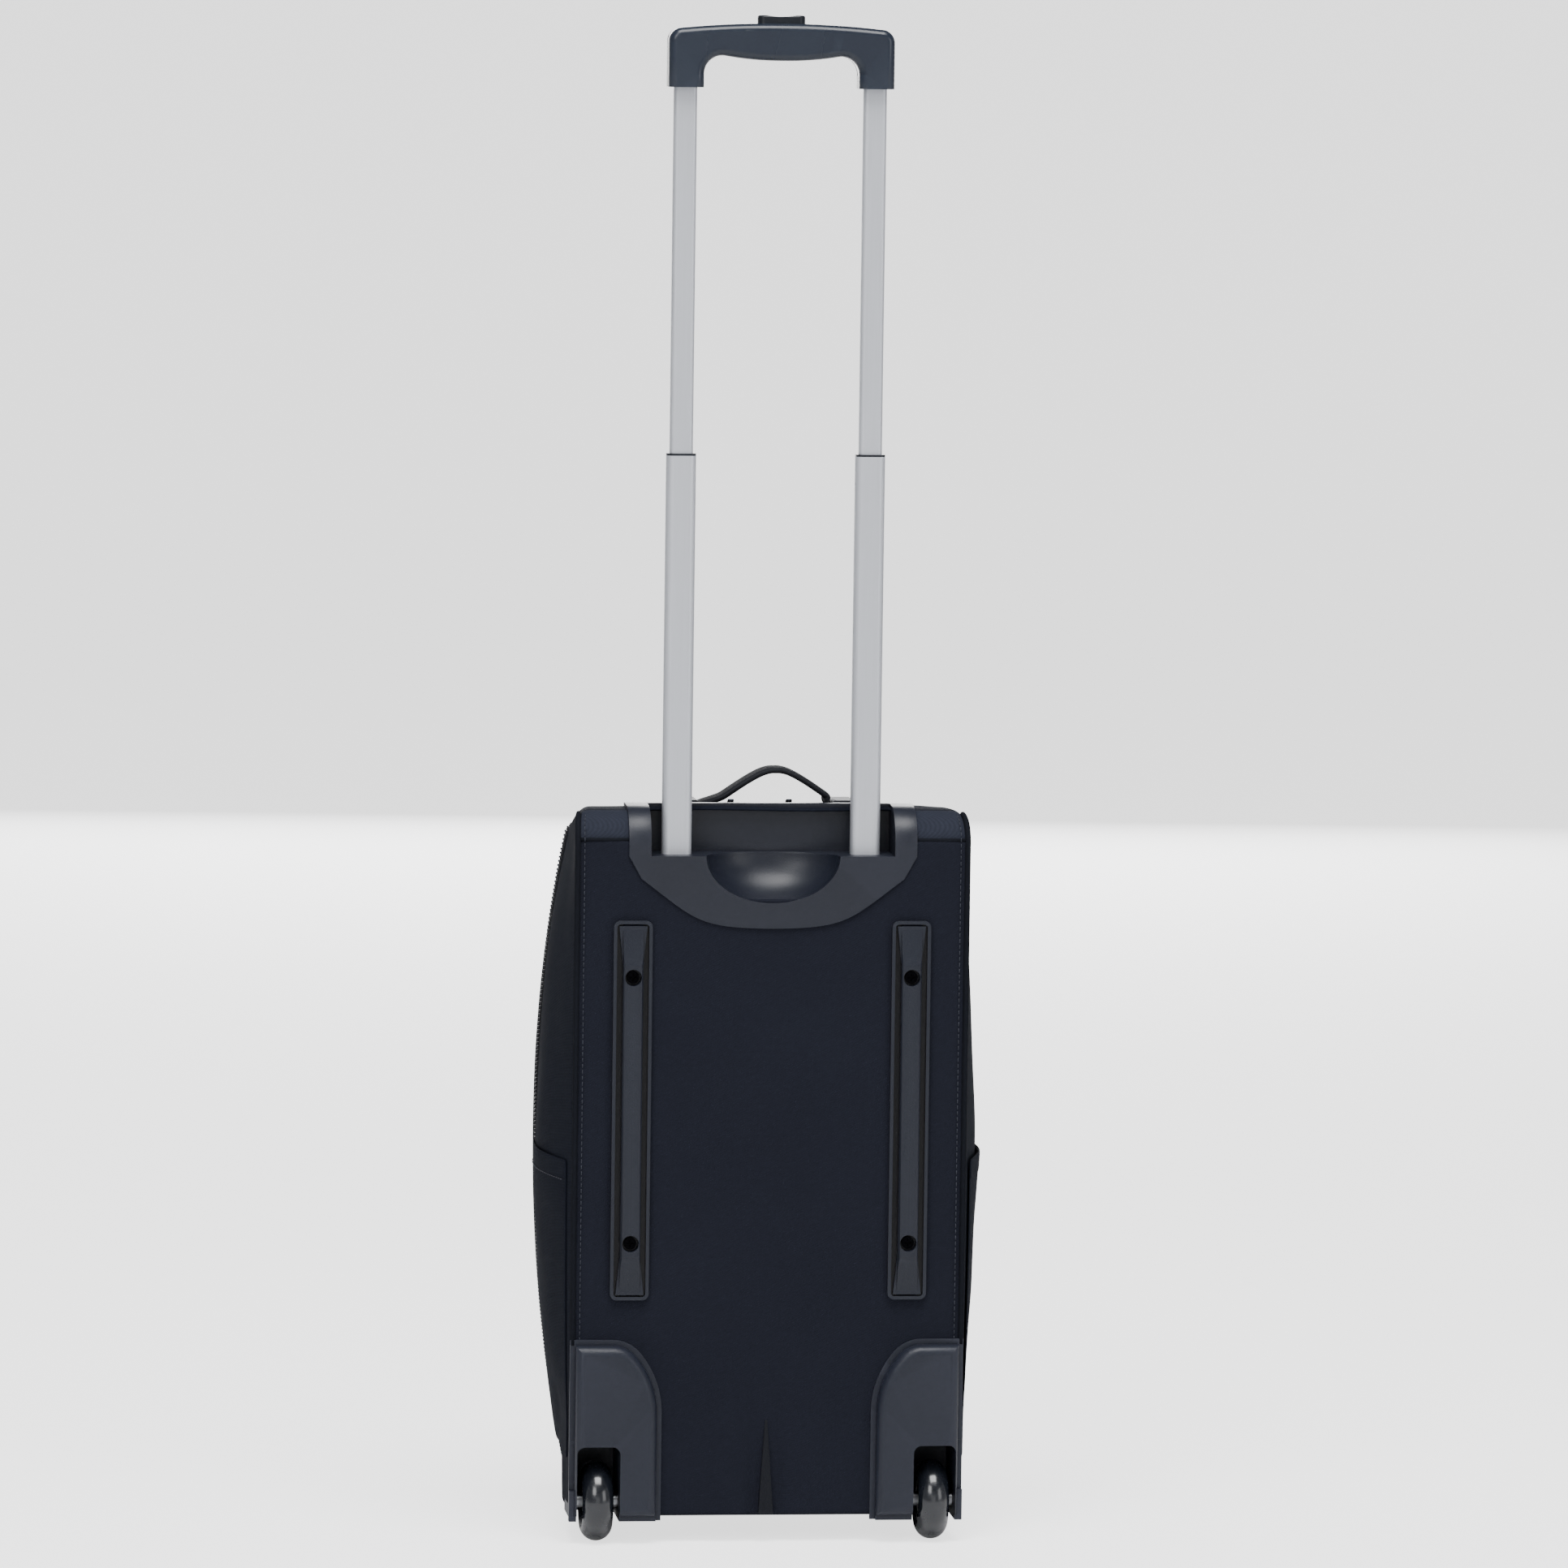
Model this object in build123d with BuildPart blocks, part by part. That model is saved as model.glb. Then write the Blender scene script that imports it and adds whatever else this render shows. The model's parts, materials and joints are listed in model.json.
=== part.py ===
"""Softside upright suitcase on two wheels, with a two-stage telescopic trolley handle.

Row frame, millimetres: +Z is up and z = 0 is the floor. -Y is the back, with the trolley handle,
the skid rails and the wheels. +Y is the front, with the lid and its pockets. The case is symmetric
left to right about x = 0. Depths are counted from the back panel's outer face towards +Y.
The trolley handle is drawn out to its full height.
"""

import math
import os

from build123d import *

os.makedirs("parts", exist_ok=True)

# ---------------------------------------------------------------- driving dimensions
BODY_BOTTOM = 18.0  # underside of the case above the floor
BODY_TOP = 548.0  # highest point of the case
BACK_HALF = 147.5  # half width of the back panel
SIDE_HALF = 160.0  # half width where the soft sides bulge most
BACK_Y = -99.3  # the back panel's outer face
DEPTH = 203.0  # back panel to the front of the lid, without the pockets
BEYOND = 12.0  # how far the plan outline runs past the back, so that one plane alone makes the back
CORNER_R = 28.0  # upper and lower corners, seen from behind
WALL = 4.0  # padded fabric wall
ZIP_WALL = 1.6  # zip tape with its teeth

TUBE_X = 70.5  # each telescopic tube's centre from the middle
TUBE_DEPTH = 18.5
SHELF_Z = 515.0  # shelf of the handle cup, where the tubes come out
COLLAR_Z = 813.0  # top of the middle stage, drawn out
GRIP_FOOT_Z = 1083.6  # underside of the grip's feet, drawn out
MIDDLE_FOOT_Z = 463.0
UPPER_FOOT_Z = 750.0

CUP_HALF = 91.0  # half width of the recess that holds the grip
CUP_DEPTH = 38.0
CUP_WALL = 2.5
CUP_OUTER = 107.5  # half width of the cup's frame

WHEEL_R = 30.0
WHEEL_WIDTH = 23.0
WHEEL_X = 126.0
WHEEL_DEPTH = 12.0  # axle centre, from the back face
AXLE_R = 3.0

RAIL_X = 104.0
RAIL_Z = (183.0, 467.0)
RAIL_SCREW_Z = (226.0, 425.0)
HOUSING_SCREWS = ((93.0, 60.0), (95.0, 110.0), (132.0, 122.0))  # x and height, driven from inside
SCREW_SPOTS = tuple((RAIL_X, z) for z in RAIL_SCREW_Z) + HOUSING_SCREWS
SCREW_R = 1.9

# ---------------------------------------------------------------- the flat seam between case and lid
SEAM_LEAN = 0.075  # how far the seam leans back for each millimetre up
SEAM_DEPTH = 166.0  # its depth at the bottom of the case
SEAM = Plane(origin=(0, BACK_Y + SEAM_DEPTH, BODY_BOTTOM), x_dir=(-1, 0, 0), z_dir=(0, 1, SEAM_LEAN))
SEAM_GAP = 0.4  # each side of the seam
ZIP_BAND = 9.0  # width of the tape on each side of the seam
GUSSET = 18.0  # the lid's soft rim, from the seam
HINGE_X = 146.0  # beyond this x the case and lid are joined by plain fabric


def back_plane(depth=0.0):
    """A plane seen from behind, with x to the right and z up, at one depth."""
    return Plane.XZ.offset(-(BACK_Y + depth))


def save(builder, name):
    """Labels a finished piece and writes its own STEP file."""
    builder.part.label = name
    export_step(builder.part, f"parts/{name}.step")


def slab(x, depth, z, mode=Mode.ADD):
    """A box between two x, two depths and two heights, added to the part being built."""
    with Locations(((x[0] + x[1]) / 2, BACK_Y + (depth[0] + depth[1]) / 2, (z[0] + z[1]) / 2)):
        Box(x[1] - x[0], depth[1] - depth[0], z[1] - z[0], mode=mode)


def sided(side, near, far):
    """An x range on one side of the case, lower value first."""
    return tuple(sorted((side * near, side * far)))


def bar(start, end, radius, mode=Mode.ADD):
    """A round bar from one point to another, added to the part being built."""
    path = Vector(*end) - Vector(*start)
    with BuildSketch(Plane(origin=start, z_dir=path)) as section:
        Circle(radius)
    extrude(section.sketch, amount=path.length, mode=mode)


def box_section(plane, width, depth, corner, length, mode=Mode.ADD):
    """A rounded rectangular prism standing on a plane, added to the part being built."""
    with BuildSketch(plane) as section:
        RectangleRounded(width, depth, corner)
    extrude(section.sketch, amount=length, mode=mode)


def screw_holes(depths, radius):
    """Holes for the screws that hold the rails and the wheel housings to the board."""
    near, far = (BACK_Y + depth for depth in depths)
    for side in (-1, 1):
        for x, z in SCREW_SPOTS:
            bar((side * x, near, z), (side * x, far, z), radius, mode=Mode.SUBTRACT)


def level(x, depth, z):
    """A plane facing up at one point."""
    return Plane(origin=(x, BACK_Y + depth, z))


# ---------------------------------------------------------------- the soft case's outer form
def side_view(inset=0.0):
    """The case seen from the side: flat back, rolled top edge, bellied front."""
    with BuildSketch(Plane.YZ) as sketch:
        with BuildLine():
            Line((BACK_Y, 30), (BACK_Y, 523))
            RadiusArc((BACK_Y, 523), (BACK_Y + 25, BODY_TOP), 25)
            ThreePointArc((BACK_Y + 25, BODY_TOP), (BACK_Y + 80, 543.5), (BACK_Y + 122, 529))
            ThreePointArc((BACK_Y + 122, 529), (BACK_Y + 139, 517), (BACK_Y + 149, 496))
            ThreePointArc((BACK_Y + 149, 496), (BACK_Y + 177, 400), (BACK_Y + 195, 290))
            ThreePointArc((BACK_Y + 195, 290), (BACK_Y + DEPTH, 170), (BACK_Y + 197, 62))
            ThreePointArc((BACK_Y + 197, 62), (BACK_Y + 187, 34), (BACK_Y + 160, 22))
            Line((BACK_Y + 160, 22), (BACK_Y + 110, BODY_BOTTOM))
            Line((BACK_Y + 110, BODY_BOTTOM), (BACK_Y + 12, BODY_BOTTOM))
            RadiusArc((BACK_Y + 12, BODY_BOTTOM), (BACK_Y, 30), 12)
        make_face()
        if inset:
            offset(amount=-inset, mode=Mode.REPLACE)
    return sketch.sketch


def top_view(inset=0.0):
    """The case seen from above: flat back, bulging sides, rounded front corners."""
    with BuildSketch(Plane.XY) as sketch:
        with BuildLine():
            start = (BACK_HALF - 2.6, BACK_Y - BEYOND)
            Line((0, BACK_Y - BEYOND), start)
            ThreePointArc(start, (SIDE_HALF, BACK_Y + 100), (154.5, BACK_Y + 168))
            ThreePointArc((154.5, BACK_Y + 168), (147, BACK_Y + 196), (120, BACK_Y + 216))
            Line((120, BACK_Y + 216), (0, BACK_Y + 216))
            mirror(about=Plane.YZ)
        make_face()
        if inset:
            offset(amount=-inset, mode=Mode.REPLACE)
    return sketch.sketch


def back_view(inset=0.0):
    """The case seen from behind: as wide as its bulging sides, with rounded corners."""
    width = 2 * (SIDE_HALF + 1 - inset)
    height = BODY_TOP - BODY_BOTTOM - 2 * inset + 0.04
    with BuildSketch(back_plane(-1)) as sketch:
        with Locations((0, (BODY_BOTTOM + BODY_TOP) / 2)):
            RectangleRounded(width, height, CORNER_R - inset)
    return sketch.sketch


def envelope(inset=0.0):
    """The whole case as one closed form, drawn in by an inset on every side."""
    with BuildPart() as form:
        extrude(back_view(inset), amount=-240)
        extrude(side_view(inset), amount=400, both=True, mode=Mode.INTERSECT)
        extrude(top_view(inset), amount=1400, both=True, mode=Mode.INTERSECT)
    return form.part


OUTER = envelope()
INNER = envelope(WALL)
ZIP_INNER = envelope(ZIP_WALL)


def between_seams(near, far):
    """All the space between two planes parallel to the seam, counted forward from it."""
    with BuildPart() as space:
        with BuildSketch(SEAM.offset(near)):
            Rectangle(1600, 1600)
        extrude(amount=far - near)
    return space.part


def shell_band(inner, near, far):
    """The ring of wall between two planes parallel to the seam."""
    with BuildPart() as ring:
        add(OUTER)
        add(inner, mode=Mode.SUBTRACT)
        add(between_seams(near, far), mode=Mode.INTERSECT)
    return ring.part


CASE_SHELL = shell_band(INNER, -600, -ZIP_BAND)
CASE_ZIP = shell_band(ZIP_INNER, -ZIP_BAND, -SEAM_GAP)
LID_ZIP = shell_band(ZIP_INNER, SEAM_GAP, ZIP_BAND)
LID_RIM = shell_band(INNER, ZIP_BAND, GUSSET)
LID_FRONT = shell_band(INNER, GUSSET, 600)

# ---------------------------------------------------------------- room for the hard parts
HOUSING_IN = 106.6  # nearest x of a wheel box, with its clearance
BOX_DEPTH = 49.4
BOX_TOP = 77.4

with BuildPart() as hard_part_room:
    slab((-CUP_HALF - 2.9, CUP_HALF + 2.9), (-10, CUP_DEPTH + 2.9), (512.1, 620))
    slab((-54, 54), (-10, CUP_DEPTH + 2.9), (476, 512.2))
    for side in (-1, 1):
        slab(sided(side, HOUSING_IN, 200), (-20, BOX_DEPTH), (-5, BOX_TOP))
ROOM = hard_part_room.part


# ---------------------------------------------------------------- soft case walls
SIDE_CUT = BACK_HALF - 5.0
BACK_TOP = 522.0


def case_wall(name, keep, drop=None):
    """One wall of the case: the part of the shell inside one box and outside another."""
    with BuildPart() as wall:
        slab(*keep)
        if drop:
            slab(*drop, mode=Mode.SUBTRACT)
        add(CASE_SHELL, mode=Mode.INTERSECT)
        add(ROOM, mode=Mode.SUBTRACT)
        if name == "back_panel":
            screw_holes((-1, WALL + 1), SCREW_R + 0.1)
    save(wall, name)


across = (-SIDE_CUT, SIDE_CUT)
back_layer = ((-300, 300), (-20, WALL), (BODY_BOTTOM + WALL, BACK_TOP))
case_wall("back_panel", (across, (-20, WALL), (BODY_BOTTOM + WALL, BACK_TOP)))
case_wall("bottom_panel", (across, (-20, 300), (0, 200)), back_layer)
case_wall("top_panel", (across, (-20, 300), (440, 600)), back_layer)
case_wall("side_panel_left", ((-300, -SIDE_CUT), (-20, 300), (0, 600)))
case_wall("side_panel_right", ((SIDE_CUT, 300), (-20, 300), (0, 600)))

# Slip pockets lie flat against the lower half of the side walls.
SLIP_TOP = 296.0
SLIP_LIFT = 0.2
SLIP_WALL = 1.6


def slip_pocket(side):
    """One layer of fabric just off a side wall."""
    with BuildPart() as layer:
        slab(sided(side, 130, 300), (9, 134), (BOX_TOP + 8, SLIP_TOP))
        add(OUTER.moved(Location((side * (SLIP_LIFT + SLIP_WALL), 0, 0))), mode=Mode.INTERSECT)
        add(OUTER.moved(Location((side * SLIP_LIFT, 0, 0))), mode=Mode.SUBTRACT)
        add(OUTER, mode=Mode.SUBTRACT)
    return layer.part


with BuildPart() as side_pockets:
    add(slip_pocket(-1))
    add(slip_pocket(1))
save(side_pockets, "side_pockets")

# Corded piping along both edges of the back panel, from the wheels to the rolled top edge.
PIPING_R = 1.9
PIPING_X = BACK_HALF - 2.6
with BuildPart() as back_piping:
    for side in (-1, 1):
        bar((side * PIPING_X, BACK_Y - PIPING_R, 155), (side * PIPING_X, BACK_Y - PIPING_R, 520), PIPING_R)
save(back_piping, "back_piping")

# Stiff board inside the back, that the channels and rails are fastened to.
BOARD = (WALL + 0.3, 7.0)
with BuildPart() as back_board:
    slab((-139, 139), BOARD, (29, 474))
    for side in (-1, 1):
        slab(sided(side, HOUSING_IN - 2, 200), (0, 20), (0, BOX_TOP + 3), mode=Mode.SUBTRACT)
    screw_holes((0, 20), SCREW_R + 0.1)
save(back_board, "back_board")

# Spring wire round the mouth of the case, in a sleeve just behind the zip.
with BuildPart() as mouth_wire:
    with BuildSketch(SEAM.offset(-14)) as wire_outline:
        with Locations((0, 262)):
            RectangleRounded(286, 478, 58)
            RectangleRounded(280, 472, 55, mode=Mode.SUBTRACT)
    extrude(amount=3)
save(mouth_wire, "mouth_wire")

# Lining that covers the trolley channels on the inside.
LINING = (43.0, 44.2)
with BuildPart() as lining_panel:
    slab((-138, 138), LINING, (26, 528))
    for side in (-1, 1):
        slab(sided(side, HOUSING_IN - 3, 200), (30, 60), (0, BOX_TOP + 3), mode=Mode.SUBTRACT)
save(lining_panel, "lining_panel")


# ---------------------------------------------------------------- zips, hinge strip and lid
HINGE_STRIP_Z = (70, 490)


def zip_part(name, ring, hinge_side, outside=None):
    """The zip ring without its hinge stretch, or the hinge stretch alone."""
    with BuildPart() as tape:
        add(ring)
        if hinge_side:
            slab((HINGE_X, 300), (0, 300), HINGE_STRIP_Z, mode=Mode.INTERSECT)
        else:
            slab((HINGE_X, 300), (0, 300), HINGE_STRIP_Z, mode=Mode.SUBTRACT)
    save(tape, name)


zip_part("case_zip_tape", CASE_ZIP, False)
zip_part("lid_hinge_strip", CASE_ZIP, True)
zip_part("lid_zip_tape", LID_ZIP, False)

with BuildPart() as hinge_fabric:
    add(LID_ZIP)
    slab((HINGE_X, 300), (0, 300), HINGE_STRIP_Z, mode=Mode.INTERSECT)

with BuildPart() as lid_gusset:
    add(LID_RIM)
    add(hinge_fabric.part)
save(lid_gusset, "lid_gusset")

with BuildPart() as lid_panel:
    add(LID_FRONT)
save(lid_panel, "lid_panel")


def raised(half, z, rise):
    """A block whose front follows the lid's front, standing a little way off it."""
    with BuildPart() as lifted:
        slab((-half, half), (60, 300), z)
        add(OUTER.moved(Location((0, rise, 0))), mode=Mode.INTERSECT)
    return lifted.part


def lid_pocket(name, half, z, rise, wall, mouth):
    """A box pocket standing off the lid, open along its top edge where its zip runs."""
    with BuildPart() as pocket:
        add(raised(half, z, rise))
        add(raised(half - wall, (z[0] + wall, z[1] - wall), rise - wall), mode=Mode.SUBTRACT)
        slab((-half + mouth, half - mouth), (60, 300), (z[1] - wall - 0.5, z[1] + 1), mode=Mode.SUBTRACT)
        add(OUTER, mode=Mode.SUBTRACT)
    save(pocket, name)


LOWER_POCKET = (118.0, (48.0, 292.0), 12.0)
UPPER_POCKET = (112.0, (312.0, 462.0), 8.0)
POCKET_WALL = 2.5
POCKET_MOUTH = 6.0
lid_pocket("lower_pocket", *LOWER_POCKET, POCKET_WALL, POCKET_MOUTH)
lid_pocket("upper_pocket", *UPPER_POCKET, POCKET_WALL, POCKET_MOUTH)

# Each pocket's zip fills its open top edge.
with BuildPart() as pocket_zips:
    for half, z, rise in (LOWER_POCKET, UPPER_POCKET):
        add(raised(half - POCKET_MOUTH, (z[1] - 2.4, z[1] - 0.6), rise))
    add(OUTER, mode=Mode.SUBTRACT)
save(pocket_zips, "pocket_zips")

# ---------------------------------------------------------------- zip sliders and their pullers
SLIDER = (11.0, 6.5, 2.6)  # along the zip, across it, standing off it
PULLER = (4.8, 26.0, 1.4)  # width, length, thickness
PIN_LIFT = 4.4  # puller pin above the slider's underside
BRIDGE_PIN_R = 0.8


def zip_slider(name, frame):
    """A slider body on the zip, with a bridge that holds the puller's pin."""
    with BuildPart(frame) as slider:
        Box(*SLIDER, align=(Align.CENTER, Align.CENTER, Align.MIN))
        with Locations((-3.4, 0, SLIDER[2]), (3.4, 0, SLIDER[2])):
            Box(1.2, 3.6, 3.2, align=(Align.CENTER, Align.CENTER, Align.MIN))
        with Locations(Location((0, 0, PIN_LIFT), (0, 90, 0))):
            Cylinder(BRIDGE_PIN_R, 6.8)
    save(slider, name)


def zip_puller(name, frame):
    """A flat pull tab whose eye turns on the slider's pin, lying along -y of its frame."""
    with BuildPart(frame) as puller:
        with Locations(Location((0, 0, PIN_LIFT), (0, 90, 0))):
            Cylinder(BRIDGE_PIN_R + 0.75, PULLER[0])
        with Locations((0, -1.0 - PULLER[1] / 2, PIN_LIFT)):
            Box(*PULLER)
        with Locations(Location((0, 0, PIN_LIFT), (0, 90, 0))):
            Cylinder(BRIDGE_PIN_R + 0.06, 8, mode=Mode.SUBTRACT)
        with Locations((0, -PULLER[1] + 3, PIN_LIFT)):
            Cylinder(1.3, 4, mode=Mode.SUBTRACT)
        upright = puller.edges().filter_by(Axis(frame.origin, frame.z_dir))
        fillet(upright.sort_by(Axis(frame.origin, frame.y_dir))[:2], 1.8)
    save(puller, name)


def slider_frame(x, depth, z, slope, along):
    """A frame on the fabric, x along the zip and z off the fabric, which leans back by slope degrees."""
    lean = math.radians(slope)
    off = (0, math.cos(lean), math.sin(lean))
    return Plane(origin=(x, BACK_Y + depth, z), x_dir=(along, 0, 0), z_dir=off)


for name, frame in (
    ("main_slider_left", slider_frame(-22, 117.6, 532.2, 64, 1)),
    ("main_slider_right", slider_frame(22, 117.6, 532.2, 64, 1)),
    ("lower_pocket_slider", slider_frame(92, 207.9, 289, 8, -1)),
    ("upper_pocket_slider", slider_frame(86, 169.6, 459, 16, -1)),
):
    zip_slider(name, frame)
    zip_puller(name.replace("slider", "puller"), frame)

# ---------------------------------------------------------------- handle cup
def rolled_skin(lift):
    """A skin of one thickness over the case's rolled top edge, as wide as the cup's frame."""
    with BuildPart() as skin:
        extrude(side_view(-lift), amount=CUP_OUTER, both=True)
        extrude(side_view(), amount=CUP_OUTER + 1, both=True, mode=Mode.SUBTRACT)
        slab((-CUP_OUTER, CUP_OUTER), (-10, 47), (SHELF_Z - 0.01, 600), mode=Mode.INTERSECT)
        slab((-CUP_HALF, CUP_HALF), (-10, CUP_DEPTH), (SHELF_Z - 1, 600), mode=Mode.SUBTRACT)
    return skin.part


BOWL = (50.0, 37.0, 35.0)  # half width, depth and height of the finger bowl
CUP_SKIN = 2.5


def bowl_form(extra):
    """A quarter of an egg shape below the shelf, grown by a wall's thickness."""
    with BuildPart() as form:
        Sphere(1)
        scale(by=(BOWL[0] + extra, BOWL[1] + extra, BOWL[2] + extra))
    moved = form.part.moved(Location((0, BACK_Y - CUP_SKIN, SHELF_Z)))
    with BuildPart() as lower:
        add(moved)
        slab((-80, 80), (-CUP_SKIN, 60), (450, SHELF_Z), mode=Mode.INTERSECT)
    return lower.part


def cup_walls():
    """The shelf, the side walls and the back wall of the recess, cut off under the rolled skin."""
    outer = CUP_HALF + CUP_WALL
    with BuildPart() as walls:
        slab((-outer, outer), (-CUP_SKIN, CUP_DEPTH + CUP_WALL), (SHELF_Z - CUP_WALL, 560))
        slab((-CUP_HALF, CUP_HALF), (-20, CUP_DEPTH), (SHELF_Z, 570), mode=Mode.SUBTRACT)
        extrude(side_view(-CUP_SKIN), amount=200, both=True, mode=Mode.INTERSECT)
    return walls.part


with BuildPart() as handle_cup:
    with BuildSketch(back_plane()):
        with BuildLine():
            Line((-CUP_OUTER, SHELF_Z), (-98, 498))
            Spline((-98, 498), (-77, 482), (-52, 467), (-27, 462), (0, 461))
            mirror(about=Plane.YZ)
            Line((-CUP_OUTER, SHELF_Z), (CUP_OUTER, SHELF_Z))
        make_face()
    extrude(amount=CUP_SKIN)
    add(cup_walls())
    add(rolled_skin(CUP_SKIN))
    add(bowl_form(CUP_WALL))
    add(bowl_form(0), mode=Mode.SUBTRACT)
    for side in (-1, 1):
        box_section(level(side * TUBE_X, TUBE_DEPTH, 500), 22.1, 15.9, 5.1, 30, mode=Mode.SUBTRACT)
save(handle_cup, "handle_cup")

# ---------------------------------------------------------------- trolley: fixed channels and their base
CHANNEL = (26.6, 20.2, 5.4)
CHANNEL_Z = (32.0, 512.0)
with BuildPart() as outer_channels:
    for side in (-1, 1):
        start = level(side * TUBE_X, TUBE_DEPTH, CHANNEL_Z[0])
        box_section(start, *CHANNEL, CHANNEL_Z[1] - CHANNEL_Z[0])
        box_section(start, 24.2, 17.8, 4.2, 600, mode=Mode.SUBTRACT)
save(outer_channels, "outer_channels")

with BuildPart() as trolley_base:
    slab((-90, 90), (7.3, 30.5), (24.5, 50))
    slab((-52, 52), (10, 28), (27, 60), mode=Mode.SUBTRACT)
    for side in (-1, 1):
        box_section(level(side * TUBE_X, TUBE_DEPTH, CHANNEL_Z[0]), 26.7, 20.3, 5.4, 40, mode=Mode.SUBTRACT)
    fillet(trolley_base.edges().filter_by(Axis.Z).sort_by(Axis.X)[:1], 1)
save(trolley_base, "trolley_base")

# ---------------------------------------------------------------- trolley: middle stage
MIDDLE = (21.8, 15.6, 5.0)
MIDDLE_BORE = (19.4, 13.2, 3.8)
MIDDLE_TOP = COLLAR_Z - 1.6
SNAP_Z = (790.0, 801.0)


def snap_bumps(side, radius, reach, mode):
    """The collar's four snap bumps, or the holes that they click into."""
    for z in SNAP_Z:
        for way in (-1, 1):
            inner = (side * TUBE_X + way * 8.0, BACK_Y + TUBE_DEPTH, z)
            outer = (side * TUBE_X + way * reach, BACK_Y + TUBE_DEPTH, z)
            bar(inner, outer, radius, mode=mode)


for side, hand in ((-1, "left"), (1, "right")):
    with BuildPart() as middle_tube:
        start = level(side * TUBE_X, TUBE_DEPTH, MIDDLE_FOOT_Z + 7)
        box_section(start, *MIDDLE, MIDDLE_TOP - MIDDLE_FOOT_Z - 7)
        box_section(start, *MIDDLE_BORE, 400, mode=Mode.SUBTRACT)
        snap_bumps(side, 1.7, 14, Mode.SUBTRACT)
    save(middle_tube, f"middle_tube_{hand}")

UPPER_BORE = (17.3, 11.3, 3.2)  # what the collar leaves for the upper tube
with BuildPart() as tube_collars:
    for side in (-1, 1):
        box_section(level(side * TUBE_X, TUBE_DEPTH, MIDDLE_TOP), *MIDDLE, COLLAR_Z - MIDDLE_TOP)
        box_section(level(side * TUBE_X, TUBE_DEPTH, 785), 19.2, 13.0, 3.7, COLLAR_Z - 785)
        snap_bumps(side, 1.6, 10.1, Mode.ADD)
        box_section(level(side * TUBE_X, TUBE_DEPTH, 780), *UPPER_BORE, 60, mode=Mode.SUBTRACT)
save(tube_collars, "tube_collars")

with BuildPart() as guide_blocks:
    for side in (-1, 1):
        box_section(level(side * TUBE_X, TUBE_DEPTH, MIDDLE_FOOT_Z), 23.9, 17.5, 4.1, 6.9)
        box_section(level(side * TUBE_X, TUBE_DEPTH, MIDDLE_FOOT_Z), 19.2, 13.0, 3.7, 15)
save(guide_blocks, "guide_blocks")

# ---------------------------------------------------------------- trolley: upper stage
UPPER = (17.0, 11.0, 3.1)
UPPER_INSIDE = (14.8, 8.8, 2.0)
UPPER_TUBE_Z = (UPPER_FOOT_Z + 7, 1100.0)
PIN_Z = 768.0
PIN_R = 2.4
PIN_X = (TUBE_X + 2.2, TUBE_X + 9.2)  # inner and outer end of a lock pin
for side, hand in ((-1, "left"), (1, "right")):
    with BuildPart() as upper_tube:
        start = level(side * TUBE_X, TUBE_DEPTH, UPPER_TUBE_Z[0])
        box_section(start, *UPPER, UPPER_TUBE_Z[1] - UPPER_TUBE_Z[0])
        box_section(start, *UPPER_INSIDE, 500, mode=Mode.SUBTRACT)
        bar((side * TUBE_X, BACK_Y + TUBE_DEPTH, PIN_Z), (side * 90, BACK_Y + TUBE_DEPTH, PIN_Z),
            PIN_R + 0.05, mode=Mode.SUBTRACT)
    save(upper_tube, f"upper_tube_{hand}")
    inner_end, outer_end = ((side * x, BACK_Y + TUBE_DEPTH, PIN_Z) for x in PIN_X)
    with BuildPart() as lock_pin:
        bar(inner_end, outer_end, PIN_R)
        fillet(lock_pin.edges().group_by(Axis.X)[0 if side < 0 else -1], 0.8)
    save(lock_pin, f"lock_pin_{hand}")

ROD_R = 2.0
ROD_FOOT_Z = PIN_Z + PIN_R + 8.0
SPRING_Z = (800.0, 818.0)
with BuildPart() as lock_blocks:
    for side in (-1, 1):
        foot = level(side * TUBE_X, TUBE_DEPTH, UPPER_FOOT_Z)
        box_section(foot, 19.1, 12.9, 3.6, 6.9)
        box_section(foot, 14.6, 8.6, 1.9, SPRING_Z[0] - UPPER_FOOT_Z)
        bar((side * TUBE_X, BACK_Y + TUBE_DEPTH, PIN_Z), (side * TUBE_X, BACK_Y + TUBE_DEPTH, 820),
            ROD_R + 0.08, mode=Mode.SUBTRACT)
        bar((side * (TUBE_X - 3), BACK_Y + TUBE_DEPTH, PIN_Z), (side * 90, BACK_Y + TUBE_DEPTH, PIN_Z),
            PIN_R + 0.05, mode=Mode.SUBTRACT)
save(lock_blocks, "lock_blocks")

with BuildPart() as return_springs:
    for side in (-1, 1):
        coil_foot = (side * TUBE_X, BACK_Y + TUBE_DEPTH, SPRING_Z[0] + 0.5)
        with BuildLine():
            coil = Helix(pitch=2.8, height=SPRING_Z[1] - SPRING_Z[0] - 1.0, radius=3.1, center=coil_foot)
        with BuildSketch(Plane(origin=coil @ 0, z_dir=coil % 0)) as wire_section:
            Circle(0.4)
        sweep(wire_section.sketch, path=coil)
save(return_springs, "return_springs")

CROSSBAR_Z = (1115.5, 1119.5)
with BuildPart() as push_rods:
    for side in (-1, 1):
        centre = (side * TUBE_X, BACK_Y + TUBE_DEPTH)
        bar((*centre, ROD_FOOT_Z), (*centre, CROSSBAR_Z[0]), ROD_R)
        bar((*centre, SPRING_Z[1]), (*centre, SPRING_Z[1] + 2), 3.7)
    slab((-TUBE_X - 3, TUBE_X + 3), (TUBE_DEPTH - 3.5, TUBE_DEPTH + 3.5), CROSSBAR_Z)
save(push_rods, "push_rods")

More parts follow.
